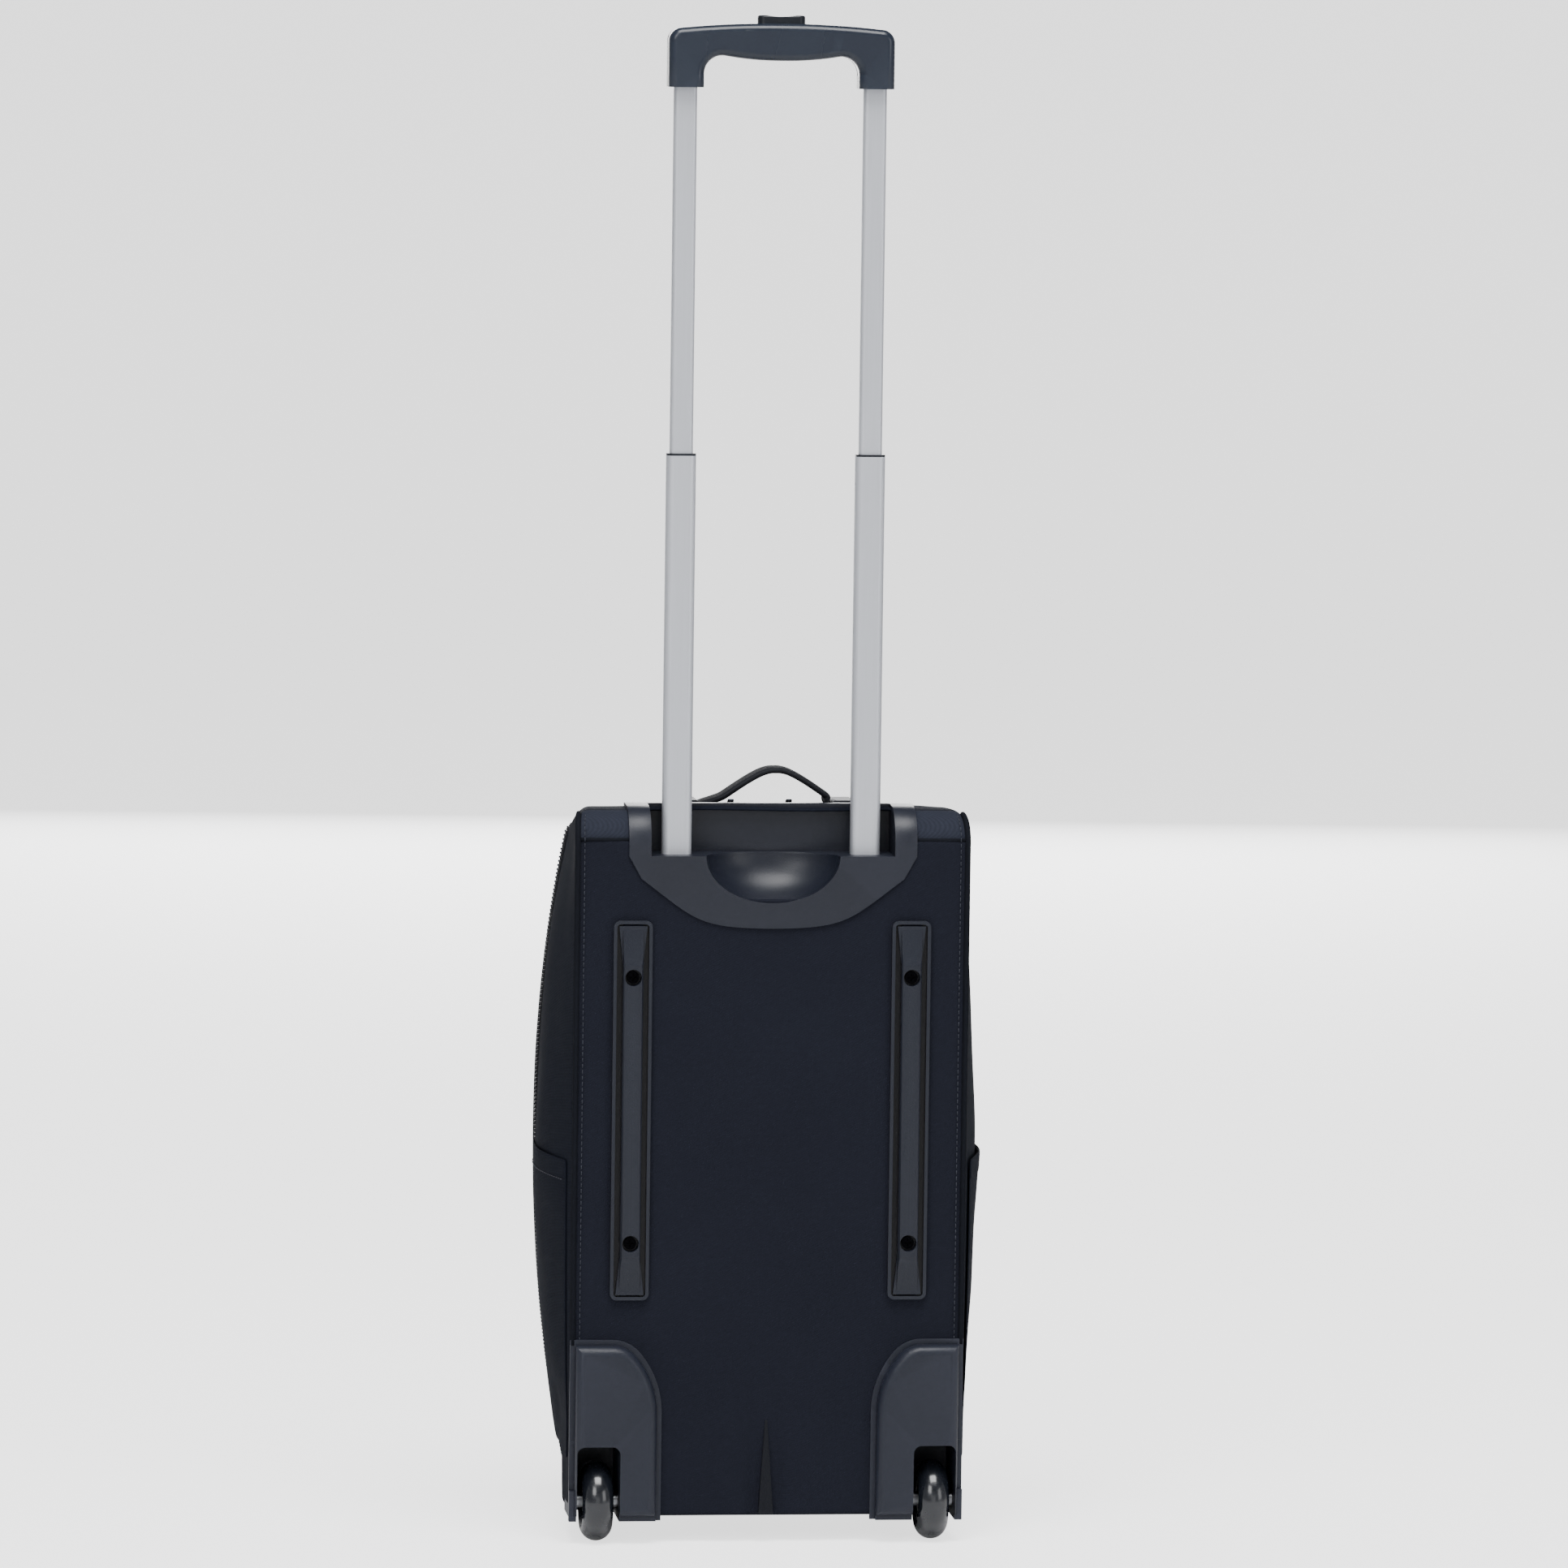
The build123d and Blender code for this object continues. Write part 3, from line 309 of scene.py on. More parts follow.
paper = Finish("studio_paper")
paper.surface(
    Base_Color=(0.86, 0.86, 0.87, 1),
    Roughness=0.9,
    Normal=paper.bump(paper.speckle(60), 0.02, 0.001),
    Emission_Color=(1, 1, 1, 1),
    Emission_Strength=paper.node("ShaderNodeLightPath", output="Is Camera Ray") * 1.65 + 0.06,
)
stage = shown("studio_bowl", studio_bowl())
stage.data.materials.append(paper.material)
for face in stage.data.polygons:
    face.use_smooth = True
stage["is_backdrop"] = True
print("floor:", len(stage.data.polygons), "faces")

# %% [markdown]
# Soft light comes from large panels, which the camera doesn't see. The main one stands high to
# the left and a weaker one to the right. One hangs overhead, so that the grip's top, the finger
# bowl and the cup's rolled edges catch a pale line. One lights the lid from the far side, and a
# wide one stands behind the camera.


# %% Lights
def softbox(name, place, target, size, power):
    """A large rectangular lamp that looks at a target."""
    data = bpy.data.lights.new(name, "AREA")
    data.shape = "RECTANGLE"
    data.size, data.size_y = size
    data.energy = power
    lamp = bpy.data.objects.new(name, data)
    lamp.location = place
    lamp.rotation_euler = (Vector(target) - Vector(place)).to_track_quat("-Z", "Y").to_euler()
    lamp.visible_camera = False
    bpy.context.scene.collection.objects.link(lamp)


softbox("key", (-2.6, -4.2, 3.2), (0, 0, 0.6), (2.2, 2.2), 100)
softbox("fill", (3.4, -3.6, 1.6), (0, 0, 0.5), (2.0, 2.4), 42)
softbox("top", (0, -1.4, 3.9), (0, 0, 0.6), (2.6, 2.0), 215)
softbox("front_fill", (0.5, 5.2, 1.5), (0, 0, 0.4), (2.5, 2.5), 150)
softbox("behind_camera", (-0.6, -9.0, 1.4), (0, 0, 0.7), (5.0, 3.0), 40)
world = bpy.data.worlds.new("studio")
world.use_nodes = True
world.node_tree.nodes["Background"].inputs["Color"].default_value = (1, 1, 1, 1)
world.node_tree.nodes["Background"].inputs["Strength"].default_value = 0.12
bpy.context.scene.world = world
print("lights:", len(bpy.data.lights))

# %% [markdown]
# ## Fabrics
#
# The case is sewn from a tight plain weave of dark navy polyester. Close up it shows crossing
# threads less than a millimetre wide; from a step away it shows only as a matt, slightly mottled
# surface. The weave here is two sine waves at right angles, read in metres, so it keeps its scale
# on every panel. A broad noise shifts the colour a little, as worn and brushed cloth does.


# %% Woven cloth
def woven(name, colour, thread, contrast=0.35, relief=0.5, mottle=0.25):
    """A plain weave: threads of one width crossing each other, with broad uneven tone."""
    cloth = Finish(name)
    across, depth, up = cloth.axes(cloth.place())
    turns = math.pi / thread
    weft = ((across + depth) * turns).sine()
    warp = ((up + (across - depth) * 0.5) * turns).sine()
    threads = weft * warp * 0.5 + 0.5
    broad = cloth.speckle(9.0, 3.0)
    fine = cloth.speckle(420.0, 2.0)
    tone_share = threads * contrast + fine * (0.6 - contrast) + broad * mottle
    dark = tuple(c * 0.55 for c in colour[:3]) + (1,)
    light = tuple(min(1, c * 1.5) for c in colour[:3]) + (1,)
    uneven = cloth.bump(broad, 0.25, 0.004)
    cloth.surface(
        Base_Color=cloth.mix(tone_share, dark, light),
        Roughness=0.78 + fine * 0.16,
        Normal=cloth.bump(threads * 0.7 + fine * 0.5, relief, 0.00025, uneven),
        Specular_IOR_Level=0.07,
    )
    return cloth.material


BACK_CLOTH = woven("back_weave", tone(27, 29, 38), 0.9 * MM)
SHELL_CLOTH = woven("shell_weave", tone(20, 23, 32), 1.1 * MM, mottle=0.32)
LINING_CLOTH = woven("lining_cloth", tone(52, 54, 60), 0.45 * MM, contrast=0.2, relief=0.25)
# The rolled top edge gets the back's weave in a paler tone: painted light, where the roll faces the lamp
# overhead.
ROLL_CLOTH_PAINTED_LIGHT = woven("top_roll_weave_painted_light", tone(40, 43, 53), 0.9 * MM)
PIPING_CLOTH = woven("piping_cover", tone(20, 22, 28), 0.5 * MM, contrast=0.15, relief=0.3)

# %% [markdown]
# Webbing and zip tape have ribs that run along their length. They are drawn on the piece's own UV
# map, whose first axis runs along the strap, so that the ribs turn with it.


# %% Webbing and zip tape
def ribbed(name, colour, rib, roughness=0.72):
    """Fabric with fine ribs along its length and small stitches of weave across them."""
    strap = Finish(name)
    along, across = strap.axes(strap.node("ShaderNodeUVMap"))[:2]
    ribs = abs((across * (math.pi / rib)).sine())
    picks = abs((along * (math.pi / (rib * 0.8))).sine())
    fine = strap.speckle(500.0)
    dark = tuple(c * 0.5 for c in colour[:3]) + (1,)
    light = tuple(min(1, c * 1.45) for c in colour[:3]) + (1,)
    strap.surface(
        Base_Color=strap.mix(ribs * 0.6 + fine * 0.4, dark, light),
        Roughness=roughness + fine * 0.15,
        Normal=strap.bump(ribs + picks * 0.35, 0.6, 0.0003),
        Specular_IOR_Level=0.12,
    )
    return strap.material


WEBBING = ribbed("handle_webbing", tone(30, 31, 35), 1.6 * MM)
ZIP_TAPE = ribbed("zip_tape", tone(18, 19, 24), 0.9 * MM, 0.8)


# %% [markdown]
# ## Plastics and metals
#
# Moulded parts differ by grain and gloss: the wheel boxes have a coarse leather-like grain, the
# rails and the cup a finer one, the grip a satin skin. A bump of round cells and a fine noise makes
# the grain. A broad noise shifts the colour and the roughness a little, and edges that get rubbed
# are found with Pointiness.


# %% Moulded plastic
def moulded(name, colour, grain, relief, roughness, wear=0.25, gloss=0.28, hollow=None):
    """Plastic with a moulded grain, faint marks of handling and slightly paler rubbed edges.

    Where hollow gives the place of a hollow's bottom, the plastic darkens towards it: this is
    painted shade, standing in for the shadow that lies there.
    """
    plastic = Finish(name)
    cells = {"Vector": plastic.place(), "Scale": grain}
    pebbles = plastic.node("ShaderNodeTexVoronoi", {"feature": "F1"}, cells)
    dust = plastic.speckle(grain * 0.6, 4.0)
    marks = plastic.speckle(26.0, 5.0, (1, 1, 0.35))
    rubbed = plastic.node("ShaderNodeNewGeometry", output="Pointiness")
    stops = (0.505, (0, 0, 0, 1)), (0.56, (1, 1, 1, 1))
    edges = plastic.node("ShaderNodeValToRGB", {"stops": stops}, {"Fac": rubbed})
    dark = tuple(c * 0.82 for c in colour[:3]) + (1,)
    light = tuple(min(1, c * 1.22) for c in colour[:3]) + (1,)
    worn = tuple(min(1, c * 1.9 + 0.01) for c in colour[:3]) + (1,)
    ground = plastic.mix(marks * 0.7 + dust * 0.3, dark, light)
    # Painted shade: the colour darkens towards the hollow's bottom, where shadow lies.
    if hollow is not None:
        depth = plastic.axes(plastic.place())[1]
        reach = {"Value": depth, "From Min": hollow - 2.6 * MM, "From Max": hollow}
        painted_shade_colour = tuple(c * 0.2 for c in dark[:3]) + (1,)
        ground = plastic.mix(plastic.node("ShaderNodeMapRange", None, reach), ground, painted_shade_colour)
    plastic.surface(
        Base_Color=plastic.mix(edges * wear, ground, worn),
        Roughness=roughness + (marks - 0.5) * 0.16,
        Normal=plastic.bump(pebbles * 0.6 + dust * 0.5, relief, 0.0003),
        Specular_IOR_Level=gloss,
    )
    return plastic.material


CUP_PLASTIC = moulded("cup_moulding", tone(22, 25, 35), 900, 0.25, 0.4, gloss=0.36)
HOUSING_PLASTIC = moulded("wheel_box_moulding", tone(29, 32, 42), 520, 0.45, 0.42, wear=0.35)
# The bottom of the rails' valleys, where their painted shade is darkest.
RAIL_HOLLOW = BACK - 1.8 * MM
RAIL_PLASTIC = moulded("rail_moulding", tone(25, 28, 37), 700, 0.3, 0.4, wear=0.35, hollow=RAIL_HOLLOW)
FOOT_PLASTIC = moulded("foot_moulding", tone(17, 19, 25), 700, 0.3, 0.5, gloss=0.15)
GRIP_PLASTIC = moulded("grip_moulding", tone(29, 35, 46), 1100, 0.15, 0.28, wear=0.2, gloss=0.4)
BUTTON_PLASTIC = moulded("button_moulding", tone(22, 25, 31), 1100, 0.15, 0.35)
INNER_PLASTIC = moulded("inner_moulding", tone(24, 25, 28), 800, 0.2, 0.5)
WHEEL_PLASTIC = moulded("hub_moulding", tone(17, 19, 25), 1300, 0.06, 0.2, gloss=0.5)


# %% Polyurethane tyre
def tyre_finish():
    """Glossy polyurethane, with faint rolling marks round the tread and specks of dust."""
    rubber = Finish("tyre_polyurethane")
    dust = rubber.speckle(180.0, 4.0)
    scuffs = rubber.speckle(70.0, 3.0, (6, 1, 1))
    ground = rubber.mix(dust * 0.5 + scuffs * 0.3, tone(12, 14, 18), tone(28, 32, 40))
    rubber.surface(
        Base_Color=ground, Roughness=0.16 + dust * 0.18, Coat_Weight=0.5, Coat_Roughness=0.12,
        Normal=rubber.bump(scuffs + dust * 0.3, 0.12, 0.0002))
    return rubber.material


TYRE = tyre_finish()


# %% Drawn aluminium and plated steel
def drawn_metal(name, colour, roughness, along):
    """Metal with hair-fine streaks along one axis, as drawing a tube through a die leaves."""
    metal = Finish(name)
    stretch = tuple(0.02 if axis == along else 1.0 for axis in "xyz")
    hair = metal.speckle(900.0, 3.0, stretch)
    cloud = metal.speckle(30.0, 3.0, stretch)
    dark = tuple(c * 0.86 for c in colour[:3]) + (1,)
    metal.surface(
        Base_Color=metal.mix(hair * 0.6 + cloud * 0.4, dark, colour),
        Metallic=0.55 if along == "z" else 1.0,
        Roughness=roughness + hair * 0.16,
        Normal=metal.bump(hair, 0.08, 0.0001),
    )
    return metal.material


ALUMINIUM = drawn_metal("anodised_aluminium", tone(206, 209, 216), 0.34, "z")
STEEL = drawn_metal("plated_steel", tone(172, 174, 178), 0.28, "x")
BLACK_STEEL = drawn_metal("blackened_steel", tone(14, 14, 17), 0.5, "y")
ZIP_METAL = drawn_metal("coated_zinc", tone(58, 61, 68), 0.35, "y")
print("finishes:", len(bpy.data.materials))

# %% [markdown]
# ## Dressing the hard parts
#
# Each hard part keeps its own mesh and gets the finish of its kind. Moulded and cast parts also get
# a Weld and a narrow Bevel, so that their edges catch light as real ones do. Tubes, tyres, springs
# and screws go without.

# %% Finish of every hard part
HARD_PARTS = (
    (CUP_PLASTIC, 0.5, ("handle_cup",)),
    (HOUSING_PLASTIC, 0.7, ("wheel_housing_left", "wheel_housing_right")),
    (RAIL_PLASTIC, 0.5, ("skid_rail_left", "skid_rail_right")),
    (FOOT_PLASTIC, 0.5, ("front_feet", "centre_skid", "handle_plates")),
    (GRIP_PLASTIC, 0.4, ("grip_back_shell", "grip_front_shell")),
    (BUTTON_PLASTIC, 0.3, ("release_button", "tube_collars")),
    (INNER_PLASTIC, 0.0, ("back_board", "trolley_base", "guide_blocks", "lock_blocks", "push_rods")),
    (WHEEL_PLASTIC, 0.3, ("wheel_hub_left", "wheel_hub_right")),
    (TYRE, 0.0, ("wheel_tyre_left", "wheel_tyre_right")),
    (ALUMINIUM, 0.0, ("upper_tube_left", "upper_tube_right", "middle_tube_left", "middle_tube_right",
                      "outer_channels")),
    (STEEL, 0.0, ("axles", "wheel_bearings_left", "wheel_bearings_right", "return_springs", "lock_pin_left",
                  "lock_pin_right")),
    (BLACK_STEEL, 0.0, ("case_screws", "grip_screws", "mouth_wire")),
    (ZIP_METAL, 0.25, ("main_slider_left", "main_slider_right", "lower_pocket_slider", "upper_pocket_slider",
                       "main_puller_left", "main_puller_right", "lower_pocket_puller",
                       "upper_pocket_puller")),
)


def dress(part, material, edge):
    """Gives a hard part its finish, and softens its sharp edges where it has any to soften."""
    part.data.materials.clear()
    part.data.materials.append(material)
    for face in part.data.polygons:
        face.material_index = 0
    if edge:
        weld = part.modifiers.new("join_faces", "WELD")
        weld.merge_threshold = 0.00001
        rounding = part.modifiers.new("soft_edges", "BEVEL")
        rounding.width = edge * MM
        rounding.segments = 2
        rounding.limit_method = "ANGLE"
        rounding.angle_limit = math.radians(40)


for material, edge, names in HARD_PARTS:
    for name in names:
        dress(nodes[name], material, edge)
print("dressed", sum(len(names) for _, _, names in HARD_PARTS), "hard parts")

# %% [markdown]
# ## The soft case
#
# A real case wall is padded cloth: flat where the board holds it, bellied where nothing does.
# It starts here as a plain block the size of the case. Its edges along the depth are bevelled,
# planes cut it into strips, faces are deleted where the cup and the wheel boxes go, and then every
# corner point is moved by one rule that says how far the cloth bellies at that depth and height.

# %% How wide, high and low the case is at each depth
ROLL = 25 * MM


def roof(depth):
    """Height of the roof: a rolled edge at the back, then a slow fall towards the lid."""
    if depth < ROLL:
        return CASE_TOP - ROLL + math.sqrt(max(ROLL**2 - (ROLL - depth) ** 2, 0))
    return CASE_TOP - 19 * MM * ((depth - ROLL) / (97 * MM)) ** 2.4


def floor(depth):
    """Height of the floor: a small roll at the back, then flat, then up a little."""
    turn = 12 * MM
    if depth < turn:
        return CASE_FLOOR + turn - math.sqrt(max(turn**2 - (turn - depth) ** 2, 0))
    return CASE_FLOOR + 4 * MM * max((depth - 110 * MM) / (50 * MM), 0) ** 2


def half_width(depth, z):
    """Half the case's width: straight at the back, most bellied at mid depth and mid height."""
    belly = 164.5 * MM - 26 * MM * abs((z - 0.285) / 0.26) ** 2.2
    share = math.sin(min(depth / (95 * MM), 1) * math.pi / 2)
    width = BACK_HALF + (belly - BACK_HALF) * share
    width -= 6 * MM * max((depth - 95 * MM) / (71 * MM), 0) ** 2
    beside_wheels = (1 - smooth(depth, 45 * MM, 85 * MM)) * (1 - smooth(z, WELL_TOP, WELL_TOP + 50 * MM))
    return width + (BACK_HALF - width) * beside_wheels


def crumple(point, amount, size, seed=0.0):
    """A smooth uneven push, the same each run: how far cloth stands off its ideal form."""
    return amount * noise.noise(Vector(point) / size + Vector((seed, seed * 1.7, seed * 2.3)))


def slack(depth, z):
    """How free the wall's cloth is to sag: not at all at its seams."""
    share = depth / seam_depth(z)
    return smooth(depth, 8 * MM, 60 * MM) * (1 - smooth(share, 0.86, 0.97))


def side_x(side, depth, z):
    """Where the cloth of a side wall is, with its sag."""
    return side * (half_width(depth, z) + crumple((side, depth, z), 2.4 * MM, 0.09, 3.1) * slack(depth, z))


# %% A block cut into strips
def cut(made, axis, places):
    """Cuts a mesh with planes that are square to one axis."""
    normal = Matrix.Identity(3)[axis]
    for value in places:
        everything = made.verts[:] + made.edges[:] + made.faces[:]
        bmesh.ops.bisect_plane(made, geom=everything, dist=1e-7, plane_co=normal * value, plane_no=normal)


def round_front(made, offset, segments):
    """Bevels the edges of the face that is furthest to the front."""
    front = max(made.faces, key=lambda f: f.calc_center_median().y)
    bmesh.ops.bevel(made, geom=front.edges[:], offset=offset, segments=segments, profile=0.5,
                    affect="EDGES", material=-1)


def block(low, high, corner, cuts, segments=5):
    """A box whose edges along the depth are rounded, cut by planes across x, y and z."""
    made = bmesh.new()
    bmesh.ops.create_cube(made, size=1)
    low, high = Vector(low), Vector(high)
    bmesh.ops.scale(made, verts=made.verts, vec=high - low)
    bmesh.ops.translate(made, verts=made.verts, vec=(low + high) / 2)
    long_edges = [e for e in made.edges if abs((e.verts[0].co - e.verts[1].co).y) > 1e-6]
    bmesh.ops.bevel(made, geom=long_edges, offset=corner, segments=segments, profile=0.5,
                    affect="EDGES", material=-1)
    for axis, places in enumerate(cuts):
        cut(made, axis, places)
    return made


def steps(low, high, count):
    """Evenly spaced places between two ends, without the ends."""
    return [low + (high - low) * i / count for i in range(1, count)]


def both_ways(values):
    """The same places on both sides of the middle."""
    return sorted([-v for v in values] + list(values))


def drop_faces(made, unwanted):
    """Deletes the faces whose centre the rule picks."""
    gone = [f for f in made.faces if unwanted(f.calc_center_median())]
    bmesh.ops.delete(made, geom=gone, context="FACES")


# %% Finishing a soft piece
def piece(name, made, body, materials, replaced=(), level=1, wall=0.0, smooth_faces=True):
    """Makes the object, puts it on its body, and hides the parts of the frame it stands for."""
    thing = shown(name, made)
    for material in materials:
        thing.data.materials.append(material)
    for face in thing.data.polygons:
        face.use_smooth = smooth_faces
    if wall:
        solid = thing.modifiers.new("wall", "SOLIDIFY")
        solid.thickness = wall
        solid.offset = -1
        solid.use_even_offset = True
        if len(materials) > 1:
            solid.material_offset = 1
    if level:
        soft = thing.modifiers.new("softness", "SUBSURF")
        soft.levels = level
        soft.render_levels = level
    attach(thing, body)
    if replaced:
        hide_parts(*replaced)
    print(name, "has", len(thing.data.polygons), "faces before smoothing")
    return thing


# %% Side walls, roof and floor as one sewn skin
SKIN = 3 * MM
LAST = 166 * MM
CASE_CORNER = 8 * MM
HAIR = 0.01 * MM


def case_point(co):
    """Where one point of the plain block goes on the bellied case."""
    share = (co.y - BACK) / LAST
    depth = share * seam_depth(co.z)
    height = (co.z - CASE_FLOOR) / CASE_HEIGHT
    z = floor(depth) + height * (roof(depth) - floor(depth))
    across = co.x / BACK_HALF
    x = across * abs(side_x(math.copysign(1, co.x), depth, z))
    if abs(across) < 0.9:
        z += crumple((x, depth, z), 2.0 * MM, 0.08, 5.2) * slack(depth, z) * (1 if height > 0.5 else 0.4)
    return Vector((x, BACK + depth, z))


def case_skin():
    """The block, cut, opened and bellied."""
    across = both_ways([RECESS_HALF, WELL_HALF[0], 122 * MM, 134 * MM, 20 * MM, 45 * MM, 70 * MM]) + [0.0]
    strips = (2, 5, 9, 14, 19.5, 25, 33, 41, 49.5, 62, 76, 92, 108, 124, 140, 152, 158)
    depths = [BACK + d * MM for d in strips]
    up = [WELL_TOP, RECESS_FLOOR] + steps(CASE_FLOOR + 16 * MM, CASE_TOP - 16 * MM, 34)
    low, high = (-BACK_HALF, BACK, CASE_FLOOR), (BACK_HALF, BACK + LAST, CASE_TOP)
    made = block(low, high, CASE_CORNER, (across, depths, up))

    def open_here(c):
        depth = c.y - BACK
        faces_back_or_front = depth < HAIR or depth > LAST - HAIR
        recess = abs(c.x) < RECESS_HALF and c.z > RECESS_FLOOR and depth < RECESS_DEPTH
        well = WELL_HALF[0] < abs(c.x) < BACK_HALF - HAIR and c.z < WELL_TOP and depth < WELL_DEPTH
        return faces_back_or_front or recess or well

    drop_faces(made, open_here)
    # Faces on the rolled top edge at the back take the paler cloth, as painted light.
    for f in made.faces:
        centre = f.calc_center_median()
        f.material_index = 2 if centre.y - BACK < ROLL and centre.z > CASE_TOP - 1 * MM else 0
    for v in made.verts:
        v.co = case_point(v.co)
    bmesh.ops.recalc_face_normals(made, faces=made.faces)
    return made


shell = piece("case_skin", case_skin(), "case",
              (SHELL_CLOTH, LINING_CLOTH, ROLL_CLOTH_PAINTED_LIGHT, LINING_CLOTH),
              ("side_panel_left", "side_panel_right", "top_panel", "bottom_panel"), wall=SKIN)


# %% [markdown]
# ## Ribbons
#
# Many pieces of a bag are strips: zip tape, webbing, hems, bindings, linings. Each is a flat grid
# with a UV map in metres, moved onto its path by a rule with two shares, one along the strip and
# one across it. A closed strip has its two ends merged.


# %% A strip laid along a rule
def ribbon(count, rows, rule, length=1.0, width=1.0, closed=False):
    """A grid moved by rule(along, across); its UV map runs from 0 to length and 0 to width."""
    made = bmesh.new()
    bmesh.ops.create_grid(made, x_segments=count, y_segments=rows, size=0.5)
    uv = made.loops.layers.uv.new("strip")
    for f in made.faces:
        for loop in f.loops:
            along, across = loop.vert.co.x + 0.5, loop.vert.co.y + 0.5
            loop[uv].uv = (along * length, across * width)
    for v in made.verts:
        v.co = rule(v.co.x + 0.5, v.co.y + 0.5)
    if closed:
        bmesh.ops.remove_doubles(made, verts=made.verts, dist=1e-6)
    return made


def outwards(made, away_from):
    """Turns a strip over if its faces point towards a place instead of away from it."""
    lean = sum((f.calc_center_median() - Vector(away_from)).dot(f.normal) * f.calc_area() for f in made.faces)
    if lean < 0:
        bmesh.ops.reverse_faces(made, faces=made.faces)
    return made


CASE_MIDDLE = (0, BACK + 80 * MM, CASE_FLOOR + CASE_HEIGHT / 2)

# %% [markdown]
# The back panel is cloth stretched over a stiff board. It is flat between the rails, stands a
# little proud where the padding pushes it, and is drawn in beside the centre skid.

# %% Back panel
BACK_TOP = CASE_TOP - 21 * MM
PANEL_HALF = BACK_HALF - 1.5 * MM
BOWL_HALF = 51 * MM
BOWL_FOOT = 0.482


def back_rule(along, across):
    """The panel's cloth: padding bulges it slightly, and the skid's sewing draws it in."""
    x = (along - 0.5) * 2 * PANEL_HALF
    z = CASE_FLOOR + 3 * MM + across * (BACK_TOP - CASE_FLOOR - 3 * MM)
    proud = 1.1 * MM * (1 - (x / PANEL_HALF) ** 4) + crumple((x, 0, z), 1.0 * MM, 0.07, 8.4)
    low = 1 - smooth(z, 40 * MM, 125 * MM)
    crease = math.exp(-(((abs(x) - 9 * MM) / (4 * MM)) ** 2)) * 2.2 * MM
    swell = math.exp(-(((abs(x) - 24 * MM - z * 0.12) / (11 * MM)) ** 2)) * 1.8 * MM
    return Vector((x, BACK - proud + (crease - swell) * low, z))


def back_cloth():
    """The panel, with openings for the finger bowl, the handle's recess and the wheel wells."""
    made = ribbon(84, 138, back_rule)

    def behind_hard_part(c):
        bowl = abs(c.x) < BOWL_HALF and c.z > BOWL_FOOT
        recess = abs(c.x) < RECESS_HALF + 4 * MM and c.z > RECESS_FLOOR - 4 * MM
        well = abs(c.x) > WELL_HALF[0] + 1 * MM and c.z < WELL_TOP
        return bowl or recess or well

    drop_faces(made, behind_hard_part)
    return outwards(made, (0, 1, 0.3))


back = piece("back_cloth", back_cloth(), "case", (BACK_CLOTH,), ("back_panel",), wall=2.6 * MM)

# %% [markdown]
# A cord sewn into a folded strip runs up both edges of the back. It is a curve with a round
# section, turned into a mesh. Beside it runs a row of stitches, each a tiny bar of thread.


# %% Round tubes and rows of stitches
def tube(points, radius):
    """A mesh tube along straight runs between close points."""
    data = bpy.data.curves.new("path", "CURVE")
    data.dimensions = "3D"
    data.bevel_depth = radius
    data.bevel_resolution = 3
    data.use_fill_caps = True
    spline = data.splines.new("POLY")
    spline.points.add(len(points) - 1)
    for knot, point in zip(spline.points, points):
        knot.co = (*point, 1)
    holder = bpy.data.objects.new("path", data)
    mesh = bpy.data.meshes.new_from_object(holder)
    made = bmesh.new()
    made.from_mesh(mesh)
    bmesh.ops.remove_doubles(made, verts=made.verts, dist=1e-7)
    bmesh.ops.recalc_face_normals(made, faces=made.faces)
    for old in (holder, mesh, data):
        bpy.data.batch_remove([old])
    return made


def joined(parts):
    """Several bmeshes as one."""
    whole = bmesh.new()
    for part in parts:
        mesh = bpy.data.meshes.new("part")
        part.to_mesh(mesh)
        part.free()
        whole.from_mesh(mesh)
        bpy.data.meshes.remove(mesh)
    return whole


STITCH_PITCH = 4.2 * MM
STITCH_SIZE = (2.9, 0.55, 0.35)


def stitches(points, out):
    """Bars of thread along a path of points, half sunk into the cloth that faces `out`."""
    made = bmesh.new()
    out = Vector(out)
    travelled = 0.0
    for start, end in zip(points, points[1:]):
        step = Vector(end) - Vector(start)
        travelled += step.length
        if travelled < STITCH_PITCH:
            continue
        travelled = 0.0
        along = step.normalized()
        side = out.cross(along).normalized()
        place = Matrix((along, side, along.cross(side))).transposed().to_4x4()
        place.translation = end
        bmesh.ops.create_cube(made, size=MM, matrix=place @ Matrix.Diagonal((*STITCH_SIZE, 1)))
    return made


def path(count, rule):
    """Evenly spaced points of a rule from 0 to 1."""
    return [Vector(rule(i / count)) for i in range(count + 1)]


# %% Piping
PIPING_X = BACK_HALF - 1.8 * MM
PIPING_FOOT = HOUSING_TOP - 4 * MM
PIPING_TURN = math.radians(72)


def edge_line(side, inset, lift):
    """A path up the back's edge and over the rolled top, as a rule from 0 to 1."""

    def rule(share):
        straight = 0.84
        if share < straight:
            z = PIPING_FOOT + (CASE_TOP - ROLL - PIPING_FOOT) * share / straight
            return (side * (PIPING_X - inset), BACK - lift, z)
        turn = (share - straight) / (1 - straight) * PIPING_TURN
        reach = ROLL + lift - 3 * MM * (turn / PIPING_TURN) ** 2
        x = side * (PIPING_X - inset - 2.5 * MM * math.sin(turn) ** 4)
        return (x, BACK + ROLL - reach * math.cos(turn), CASE_TOP - ROLL + reach * math.sin(turn))

    return rule


